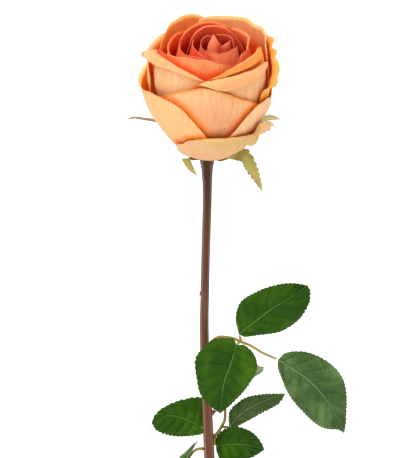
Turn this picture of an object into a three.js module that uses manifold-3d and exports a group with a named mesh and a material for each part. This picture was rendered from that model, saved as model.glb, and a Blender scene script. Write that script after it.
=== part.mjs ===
// A single long-stemmed rose standing in a plain bud vase.
//
// Millimetres, +Z up.  The origin is the centre of the vase foot on the table,
// the front of the flower faces -Y.  The flower head nods towards the front.
//
// Petals are thin closed shells wrapped on nested cup-shaped surfaces around
// the tilted flower axis, leaflets and sepals are thin closed blades on a
// curved midrib, the stem and the leaf stalks are swept tubes, and the vase is
// a turned vessel.

import * as THREE from 'three';
import { mergeVertices } from 'three/addons/utils/BufferGeometryUtils.js';
import Module from 'manifold-3d';

// ---------------------------------------------------------------- dimensions
const VASE_HEIGHT = 180;          // foot to rim
const PETAL_THICKNESS = 0.4;
const LEAF_THICKNESS = 0.5;
const SEPAL_THICKNESS = 0.5;
const CORE_RADIUS = 3.0;          // hidden core that carries the petal bases
const CORE_TOP = 41;              // along the flower axis
const PETAL_BASE_RADIUS = 3.6;    // where every petal starts
const CUP_PITCH_UP = 0.8;         // each cup sits this much higher per mm of nesting
const CUP_PITCH_IN = 0.9;         // and this much further in

// flower frame: base point and unit axes (front, right, up along the flower)
const HEAD_BASE = new THREE.Vector3(-7.99438, 0.00000, 389.07383);
const HEAD_UP = new THREE.Vector3(0.03490, -0.30883, 0.95048);
const HEAD_FRONT = new THREE.Vector3(-0.02264, -0.95106, -0.30819);
const HEAD_RIGHT = new THREE.Vector3(0.99913, -0.01077, -0.04018);

// profile of the outermost cup: [height along the flower axis, radius]
const CUP_PROFILE = [
  [0, 3.5], [1, 8], [3, 13.8], [6, 18.8], [10, 23], [15, 26.8], [20, 30.2], [27, 34.2],
  [35, 37.3], [43, 39], [52, 38.8], [60, 37.8], [70, 35.8], [80, 33.2], [95, 29],
];

// petals, outermost first.  depth = nesting depth of its cup, edge = how narrow
// the left and right sides are at the base, shift = sideways shift of the upper
// part [right, front], blend = heights between which the radius offset fades in,
// tight = share of the lip's length over which it turns.
// rim rows: [angle round the flower in degrees (0 = front, + = right), height,
// radius offset from the cup, length of the curled lip, angle the lip turns over]
const PETALS = {
  guard_front: {
    depth: 0, edge: [0.8, 0.8], shift: [0, 0], blend: [8.52, 34], tight: 0.55, colour: 0xe3bb7c,
    rim: [
      [-49, 7, -0.55, 0, 0], [-43, 13, -0.55, 0.6, 15], [-36, 19.5, -0.55, 0.8, 20], [-25.79, 21.92, -0.55, 1, 30],
      [-17.57, 26.34, -1.05, 1.4, 40], [-9.95, 29.09, -0.67, 2.5, 70], [-4.09, 30.39, -0.33, 5.5, 125], [2.36, 31.25, -0.15, 9.5, 160],
      [9.58, 31.57, 0.03, 13, 168], [17.95, 31.3, 0.14, 13.5, 168], [26.8, 30.78, 0.35, 12, 165], [36.48, 30.04, 0.67, 10, 160],
      [47.32, 29.25, 1.24, 8, 150], [50, 36.02, 1.03, 5.2, 130], [57, 35.27, 1.66, 4.4, 110], [64, 33.72, 1.94, 4.2, 90],
      [72, 24, 4.57, 2.5, 55], [78, 13, 4.57, 1, 20],
    ],
  },
  guard_back: {
    depth: 0, edge: [0.8, 0.8], shift: [0, 0], blend: [11.77, 47], tight: 1, colour: 0xe9b070,
    rim: [
      [112, 12, 0, 0, 0], [118, 26, 0, 2, 40], [130, 38, 0, 5, 90], [150, 45, 0, 8, 130],
      [175, 47, 0, 9, 140], [200, 45, 0, 8, 130], [218, 38, 0, 5, 100], [230, 26, 0, 2, 50],
      [236, 14, 0, 0, 0],
    ],
  },
  guard_left: {
    depth: 1.4, edge: [0.8, 0.9], shift: [0, 0], blend: [15.57, 58], tight: 1, colour: 0xf3c08a,
    rim: [
      [-168, 15, -0.18, 0, 0], [-160, 35, -0.18, 1, 30], [-142, 48, -0.18, 2, 50], [-122, 45.54, 7.31, 3, 60],
      [-104, 46.68, 2.95, 3.5, 70], [-88, 46.92, 2.95, 3, 60], [-75.6, 47.27, 2.53, 2, 40], [-58.94, 50.82, 1.96, 1.2, 30],
      [-47.03, 51.63, 1.52, 1, 20], [-34.62, 51.24, 1.09, 0.8, 20], [-21.22, 47.31, 0.39, 0.8, 20], [-8.53, 38.24, 0.92, 0.6, 20],
      [-1.37, 31.68, 3.65, 0.5, 20], [4, 22, 3.65, 0, 0], [6, 11, 3.65, 0, 0],
    ],
  },
  guard_right: {
    depth: 1.4, edge: [0.8, 0.8], shift: [0, 0], blend: [14.57, 54], tight: 1, colour: 0xf2bd86,
    rim: [
      [12, 11, 4.32, 0, 0], [15, 20, 4.32, 0, 0], [18, 25, 4.32, 0.4, 20], [21.26, 31.95, 4.32, 0.6, 20],
      [29.67, 38.74, 0.91, 0.6, 20], [38.85, 44.72, -0.03, 0.6, 20], [51.07, 48.08, -0.16, 0.8, 20], [64, 47.64, -0.48, 1, 20],
      [80, 40.4, -1.3, 0.8, 20], [95, 33.81, 1.95, 0.8, 20], [112, 46, -0.33, 1.5, 40], [124, 40, -0.33, 1, 40],
      [134, 28, -0.33, 0, 0], [139, 14, -0.33, 0, 0],
    ],
  },
  outer_front: {
    depth: 2.8, edge: [0.45, 0.45], shift: [0, 0], blend: [18.62, 66], tight: 1, middle: 0, colour: 0xefb083,
    rim: [
      [-72, 20, -0.27, 0, 0], [-70, 36, -0.27, 0, 0], [-64, 45, -0.27, 0.5, 20], [-52.18, 49.16, -0.27, 1, 30],
      [-34.63, 55.91, -0.31, 1.2, 40], [-17.96, 60.68, -0.08, 1.5, 40], [-5.05, 63.29, 0.64, 1, 40], [5.09, 62.33, 0.34, 1, 35],
      [15.74, 59.58, -0.54, 1.5, 40], [30.06, 54.76, -1.3, 1.2, 30], [43.8, 50.16, -1.45, 1, 30], [60, 43, -1.45, 0.5, 20],
      [65, 33, -1.45, 0, 0], [66, 18, -1.45, 0, 0],
    ],
  },
  outer_left: {
    depth: 2.8, edge: [0.8, 0.9], shift: [0, 0], blend: [18.62, 66], tight: 1, colour: 0xf0a050,
    rim: [
      [-152, 18, 0.73, 0, 0], [-150, 40, 0.73, 1, 20], [-147, 56, 0.73, 2, 40], [-131.25, 66.28, 0.73, 3, 60],
      [-128, 64.01, 1.46, 4, 70], [-116, 63.07, 1.01, 4.5, 80], [-105, 62.44, 1.21, 4, 80], [-96, 58.5, 0.49, 2.5, 50],
      [-89, 54, -1.05, 1.5, 30], [-83, 45, -3.3, 0.5, 20], [-80, 32, -3.3, 0, 0], [-79, 16, -3.3, 0, 0],
    ],
  },
  outer_back_right: {
    depth: 2.8, edge: [0.9, 0.8], shift: [0, 0], blend: [18.62, 66], tight: 1, colour: 0xf2ae58,
    rim: [
      [75, 18, -0.39, 0, 0], [75, 36, -0.39, 0, 0], [76, 44, -0.39, 0.5, 20], [82, 43.72, -0.39, 0.6, 25],
      [94, 42.85, 0.53, 0.8, 30], [108, 50, 0.31, 1.5, 40], [135, 49, 0.29, 2, 60], [155, 47, 0.25, 2, 60],
      [168, 40, 0.25, 1, 40], [176, 28, 0.25, 0, 0], [179, 16, 0.25, 0, 0],
    ],
  },
  outer_right: {
    depth: 4.2, edge: [0.75, 0.8], shift: [0, 0], blend: [44, 60], tight: 1, colour: 0xeeaa4e,
    rim: [
      [53, 20, 0.22, 0, 0], [54, 38, 0.22, 0, 0], [55, 47, 0.22, 0.5, 20], [59, 53.5, 0.22, 3, 50],
      [66, 56.4, 2.14, 6.5, 85], [75, 58.36, 0.95, 7.5, 95], [83, 61.36, 1.23, 6.5, 92], [91, 64.02, 1.24, 6, 90],
      [99, 66.97, 0.98, 5.5, 88], [107, 69.98, 2.11, 5, 85], [116, 71.55, 2.2, 4, 75], [128, 64, 2.2, 2, 40],
      [137, 48, 2.2, 0.5, 20], [141, 22, 2.2, 0, 0],
    ],
  },
  outer_back_left: {
    depth: 4.2, edge: [0.8, 0.8], shift: [0, 0], blend: [19.67, 66], tight: 1, colour: 0xeba05c,
    rim: [
      [164, 24, 0.74, 0, 0], [166, 48, 0.74, 0, 0], [170, 62, 0.74, 1.5, 30], [188.57, 72.18, 0.74, 2.5, 50],
      [195.58, 73.99, 1.14, 3, 60], [202.8, 74.97, 1.4, 3, 60], [212.04, 74.76, 0.74, 3, 60], [220.89, 73.82, 0.2, 3, 60],
      [230.61, 72.85, -0.52, 2.5, 55], [239, 71.36, -1.82, 2, 40], [248, 56, -1.82, 1, 30], [252, 42, -1.82, 0, 0],
      [254, 24, -1.82, 0, 0],
    ],
  },
  mid_back: {
    depth: 5.8, edge: [0.9, 0.8], shift: [0, 0], blend: [54, 74], tight: 1, colour: 0xe99c66,
    rim: [
      [83, 24, 0.04, 0, 0], [83, 48, 0.04, 0, 0], [84, 60, 0.04, 0.5, 20], [92, 73.53, 0.04, 2, 40],
      [101, 76.65, 0.88, 2.5, 50], [112, 77.24, 1.05, 3, 60], [131.64, 75.18, 1.06, 3, 60], [142.55, 76.71, 1.46, 3.2, 60],
      [155.62, 75.33, 1.1, 3.5, 60], [170.29, 74.21, 0.33, 3.5, 60], [182.79, 73.96, -0.32, 3, 60], [195.12, 72.55, -1.42, 2, 50],
      [197, 58, -1.42, 0.5, 20], [200, 42, -1.42, 0, 0], [201, 26, -1.42, 0, 0],
    ],
  },
  mid_front_right: {
    depth: 7, edge: [0.8, 0.5], shift: [0, 0], blend: [21.94, 66], tight: 0.6, middle: 20, colour: 0xf4c79c,
    rim: [
      [-22, 24, -0.3, 0, 0], [-21.5, 44, -0.3, 0, 0], [-19, 55, -0.3, 0.5, 20], [-11.28, 62.43, -0.3, 2, 80],
      [-2.71, 65.45, 0.38, 4.6, 140], [6.15, 66.93, 0.67, 8.6, 163], [17.05, 67.98, 0.78, 11.5, 165], [28.49, 68.62, 0.9, 10.5, 162],
      [41.84, 68.99, 0.98, 9.5, 158], [55.32, 69.23, 1.03, 7.5, 140], [69.41, 68.51, 1.08, 4, 90], [75, 61.5, 0.3, 1.5, 50],
      [78, 52, 0.3, 0, 0], [79, 28, 0.3, 0, 0],
    ],
  },
  mid_front_left: {
    depth: 8.4, edge: [0.95, 0.8], shift: [0, 0], blend: [23.11, 66], tight: 0.75, colour: 0xf6cba2,
    rim: [
      [-76, 26, 0.33, 0, 0], [-79, 45.74, 2.52, 0.3, 10], [-80, 53.81, 0.76, 1, 20], [-80, 60.12, 0.56, 4.5, 50],
      [-81, 66.11, 2.13, 11.8, 76], [-79, 69.73, -0.82, 12.6, 98], [-68.84, 71.85, 3.09, 12, 128], [-61.32, 71.53, 2.32, 10.5, 148],
      [-53.32, 71.04, 1.62, 8.5, 158], [-43.83, 70.79, 1.07, 6.5, 158], [-32.39, 69.68, 0.45, 5.2, 150], [-21.87, 68.03, -0.18, 4, 140],
      [-11.89, 65.82, -0.95, 2.8, 115], [-4.09, 63.81, -1.41, 1.2, 80], [6, 58, -1.41, 0.5, 20], [9, 46, -1.41, 0, 0],
      [9.5, 28, -1.41, 0, 0],
    ],
  },
  inner_right: {
    depth: 9.8, edge: [0.8, 0.8], shift: [0, 0], blend: [28, 74], tight: 0.6, colour: 0xec9c62,
    rim: [
      [-8, 28, -1.03, 0, 0], [-7, 48, -1.03, 0, 0], [-4, 58, -1.03, 0.5, 20], [-1.99, 64.27, -1.03, 0.8, 50],
      [5.73, 66.83, -0.65, 2.4, 110], [15.59, 69.88, 0.13, 4.2, 140], [25.99, 72.38, 0.53, 5.6, 150], [37.33, 74.09, 0.87, 6.6, 155],
      [49.34, 75.26, 1, 7.4, 152], [62.09, 76.23, 1.1, 6.3, 135], [66.96, 77.78, 1.41, 3, 80], [84, 64, 1.41, 0.5, 20],
      [85, 46, 1.41, 0, 0], [85.5, 28, 1.41, 0, 0],
    ],
  },
  inner_front: {
    depth: 11.2, edge: [0.9, 0.85], shift: [0, 0], blend: [28, 74], tight: 1, colour: 0xe48c62,
    rim: [
      [-68, 30, 3.36, 0, 0], [-71, 50, 3.35, 0, 0], [-74, 60, 2.13, 0.4, 30], [-77, 70.81, 3.32, 1, 50],
      [-62.41, 73.51, 3.39, 1.4, 60], [-51.9, 74.29, 2.55, 1.8, 80], [-42.66, 74.89, 1.77, 2, 90], [-28.63, 76.08, 0.9, 2.2, 90],
      [-16.72, 75.84, -0.34, 2.2, 90], [-4.49, 75.78, -1.06, 2.2, 90], [6.87, 74.32, -1.45, 2, 80], [18.45, 72.57, -1.6, 1.5, 60],
      [27.62, 70.59, -1.82, 0.8, 40], [28, 56, -1.82, 0, 0], [30, 44, -1.82, 0, 0], [31, 28, -1.82, 0, 0],
    ],
  },
  inner_left: {
    depth: 12.5, edge: [0.85, 0.85], shift: [0, 0], blend: [28, 74], tight: 1, colour: 0xe48a66,
    rim: [
      [-143, 30, -3.44, 0, 0], [-142, 56, -3.44, 0, 0], [-135.29, 71.66, -3.44, 1, 40], [-123.61, 71.66, -2.64, 1.5, 60],
      [-112.47, 70.27, -2.14, 2, 80], [-97, 69.12, -2.52, 2.2, 85], [-83, 69.2, -2.6, 2, 80], [-68.68, 69.88, -2.11, 1.5, 60],
      [-55.64, 71.19, -1.33, 1, 50], [-47, 68, -1.33, 0, 0], [-44, 54, -1.33, 0, 0], [-43, 30, -1.33, 0, 0],
    ],
  },
  inner_back: {
    depth: 13.8, edge: [0.85, 0.85], shift: [3.5, 1], blend: [28, 74], tight: 1, colour: 0xdf7c54,
    rim: [
      [142, 30, -2.45, 0, 0], [142, 54, -2.45, 0, 0], [160.8, 73.2, -2.45, 1, 40], [174.72, 73.98, -1.79, 1.5, 60],
      [188.72, 75.22, -1.04, 2, 80], [202.63, 75.26, -0.94, 2.2, 80], [216.79, 74.41, -1.31, 2, 80], [230.78, 73.52, -2.28, 1.8, 80],
      [247.92, 73.19, -3.35, 1.4, 70], [250, 70.81, -2.53, 1, 50], [254, 64, -2.53, 0, 0], [255, 50, -2.53, 0, 0],
      [255, 30, -2.53, 0, 0],
    ],
  },
  core_left: {
    depth: 15.1, edge: [0.85, 0.85], shift: [3.5, 1], blend: [28, 74], tight: 1, colour: 0xe07e5e,
    rim: [
      [-101, 34, -2.41, 0, 0], [-101, 56, -2.41, 0, 0], [-98, 72.88, -2.41, 0.4, 30], [-92, 72.08, -2.68, 0.7, 50],
      [-77, 71.87, -2.66, 0.9, 50], [-67.57, 70.98, -3.9, 1, 50], [-51.25, 72.49, -3.34, 1, 50], [-37.56, 73.88, -2.85, 1, 50],
      [-26.78, 74.53, -2.72, 0.8, 50], [-5, 70, -2.72, 0, 0], [1, 56, -2.72, 0, 0], [2, 34, -2.72, 0, 0],
    ],
  },
  core_right: {
    depth: 15.1, edge: [0.85, 0.85], shift: [3.5, 1], blend: [28, 74], tight: 1, colour: 0xe58a62,
    rim: [
      [6, 34, -3.29, 0, 0], [8, 52, -3.29, 0, 0], [22.56, 68.5, -3.29, 0.3, 30], [32.11, 71.98, -2.74, 0.6, 40],
      [42.39, 76.96, -1.93, 1, 70], [80, 75.23, -6.44, 1.8, 90], [93, 77.19, -6.21, 2.6, 100], [129.98, 74.13, -4.2, 2.6, 100],
      [144.2, 74.57, -4.11, 2, 90], [157.12, 74.54, -4.72, 0.8, 50], [153, 64, -4.52, 0, 0], [155, 50, -4.62, 0, 0],
      [156, 34, -4.66, 0, 0],
    ],
  },
  core_back: {
    depth: 16.8, edge: [0.85, 0.85], shift: [3.5, 1], blend: [28, 74], tight: 1, colour: 0xdc7252,
    rim: [
      [112, 36, -6.2, 0, 0], [112, 60, -6.2, 0, 0], [148.07, 73.35, -6.2, 0.4, 30], [165.23, 74.93, -4.88, 1, 60],
      [182.14, 75.5, -4.07, 1.6, 70], [199.7, 75.53, -3.76, 1.6, 70], [216.35, 74.57, -4.65, 1.6, 70], [235.32, 73.6, -6.05, 1.2, 60],
      [254, 72.33, -6.82, 0.8, 40], [264, 64, -6.82, 0, 0], [266, 52, -6.82, 0, 0], [266, 36, -6.82, 0, 0],
    ],
  },
  heart_left: {
    depth: 18.2, edge: [0.85, 0.85], shift: [3.5, 1], blend: [28, 74], tight: 1, colour: 0xdf7a60,
    rim: [
      [-120, 38, -7.35, 0, 0], [-118, 60, -7.35, 0, 0], [-104, 73.78, -7.35, 0.5, 30], [-80, 74.2, -7.02, 0.6, 50],
      [-52.36, 74.93, -5.55, 0.6, 50], [-40.49, 74.13, -5.27, 0.5, 40], [-30.94, 73.35, -5.07, 0.4, 40], [-10, 66, -5.07, 0, 0],
      [-7, 54, -5.07, 0, 0], [-7, 38, -5.07, 0, 0],
    ],
  },
  heart_front: {
    depth: 19.6, edge: [0.85, 0.85], shift: [3.5, 1], blend: [28, 74], tight: 1, colour: 0xdd7c66,
    rim: [
      [-60, 38, -7.54, 0, 0], [-60, 58, -7.54, 0, 0], [-52.93, 72.74, -7.54, 0.3, 20], [-31.1, 74.05, -7.06, 0.5, 30],
      [-9.83, 74.68, -6.78, 0.6, 40], [9.4, 74.39, -6.82, 0.7, 40], [29.55, 74.85, -6.76, 0.7, 40], [45.99, 75.96, -6.6, 0.6, 30],
      [74, 74.18, -8.68, 0.4, 20], [80, 66, -8.68, 0, 0], [83, 54, -8.68, 0, 0], [83, 38, -8.68, 0, 0],
    ],
  },
  bud_left: {
    depth: 21, edge: [0.85, 0.85], shift: [3.5, 1], blend: [28, 74], tight: 1, colour: 0xd8705c,
    rim: [
      [-178, 40, -10.44, 0, 0], [-178, 60, -10.44, 0, 0], [-157.86, 74.06, -10.44, 0.3, 30], [-138.62, 75.14, -9.81, 0.5, 40],
      [-119.69, 74.78, -9.55, 0.6, 40], [-98, 73.64, -9.68, 0.6, 40], [-75, 73.12, -9.8, 0.6, 40], [-50.9, 73.01, -9.39, 0.5, 40],
      [-28.42, 73.48, -9.02, 0.4, 40], [-10.22, 73.27, -9.35, 0.3, 30], [4, 64, -9.35, 0, 0], [6, 54, -9.35, 0, 0],
      [6, 40, -9.35, 0, 0],
    ],
  },
  bud_right: {
    depth: 21, edge: [0.85, 0.85], shift: [3.5, 1], blend: [28, 74], tight: 1, colour: 0xd8705c,
    rim: [
      [12, 40, -9.81, 0, 0], [12, 58, -9.81, 0, 0], [13.38, 72.86, -9.81, 0.2, 20], [42.21, 73.33, -9.34, 0.3, 30],
      [66, 73.3, -9.14, 0.5, 30], [96, 75.41, -10.32, 0.5, 40], [135.58, 75.4, -9.58, 0.5, 40], [161.71, 75.3, -9.79, 0.5, 40],
      [184.97, 75.07, -10.12, 0.4, 40], [172, 68, -9.93, 0, 0], [174, 54, -9.96, 0, 0], [175, 40, -9.98, 0, 0],
    ],
  },
  tip_right: {
    depth: 22.6, edge: [0.85, 0.85], shift: [3.5, 1], blend: [28, 74], tight: 1, colour: 0xe89280,
    rim: [
      [14, 42, -10.21, 0, 0], [15, 58, -10.21, 0, 0], [17.37, 75.31, -10.21, 0, 0], [40.87, 77.13, -10.18, 0.2, 20],
      [89.51, 76.55, -10.45, 0.2, 20], [96, 70, -10.45, 0, 0], [104, 66, -10.45, 0, 0], [110, 56, -10.45, 0, 0],
      [111, 42, -10.45, 0, 0],
    ],
  },
  tip_centre: {
    depth: 24.4, edge: [0.85, 0.85], shift: [3.5, 1], blend: [28, 74], tight: 1, colour: 0xdb8676,
    rim: [
      [-130, 44, -11.43, 0, 0], [-128, 62, -11.43, 0, 0], [-116, 69, -11.43, 0, 0], [-90, 73, -11.43, 0.2, 20],
      [-55.73, 78.03, -11.43, 0.2, 20], [-31.77, 81.64, -10.82, 0.2, 20], [-8.41, 79.23, -11.28, 0.2, 20], [44, 73, -11.28, 0, 0],
      [66, 69, -11.28, 0, 0], [76, 60, -11.28, 0, 0], [77, 44, -11.28, 0, 0],
    ],
  },
};

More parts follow.
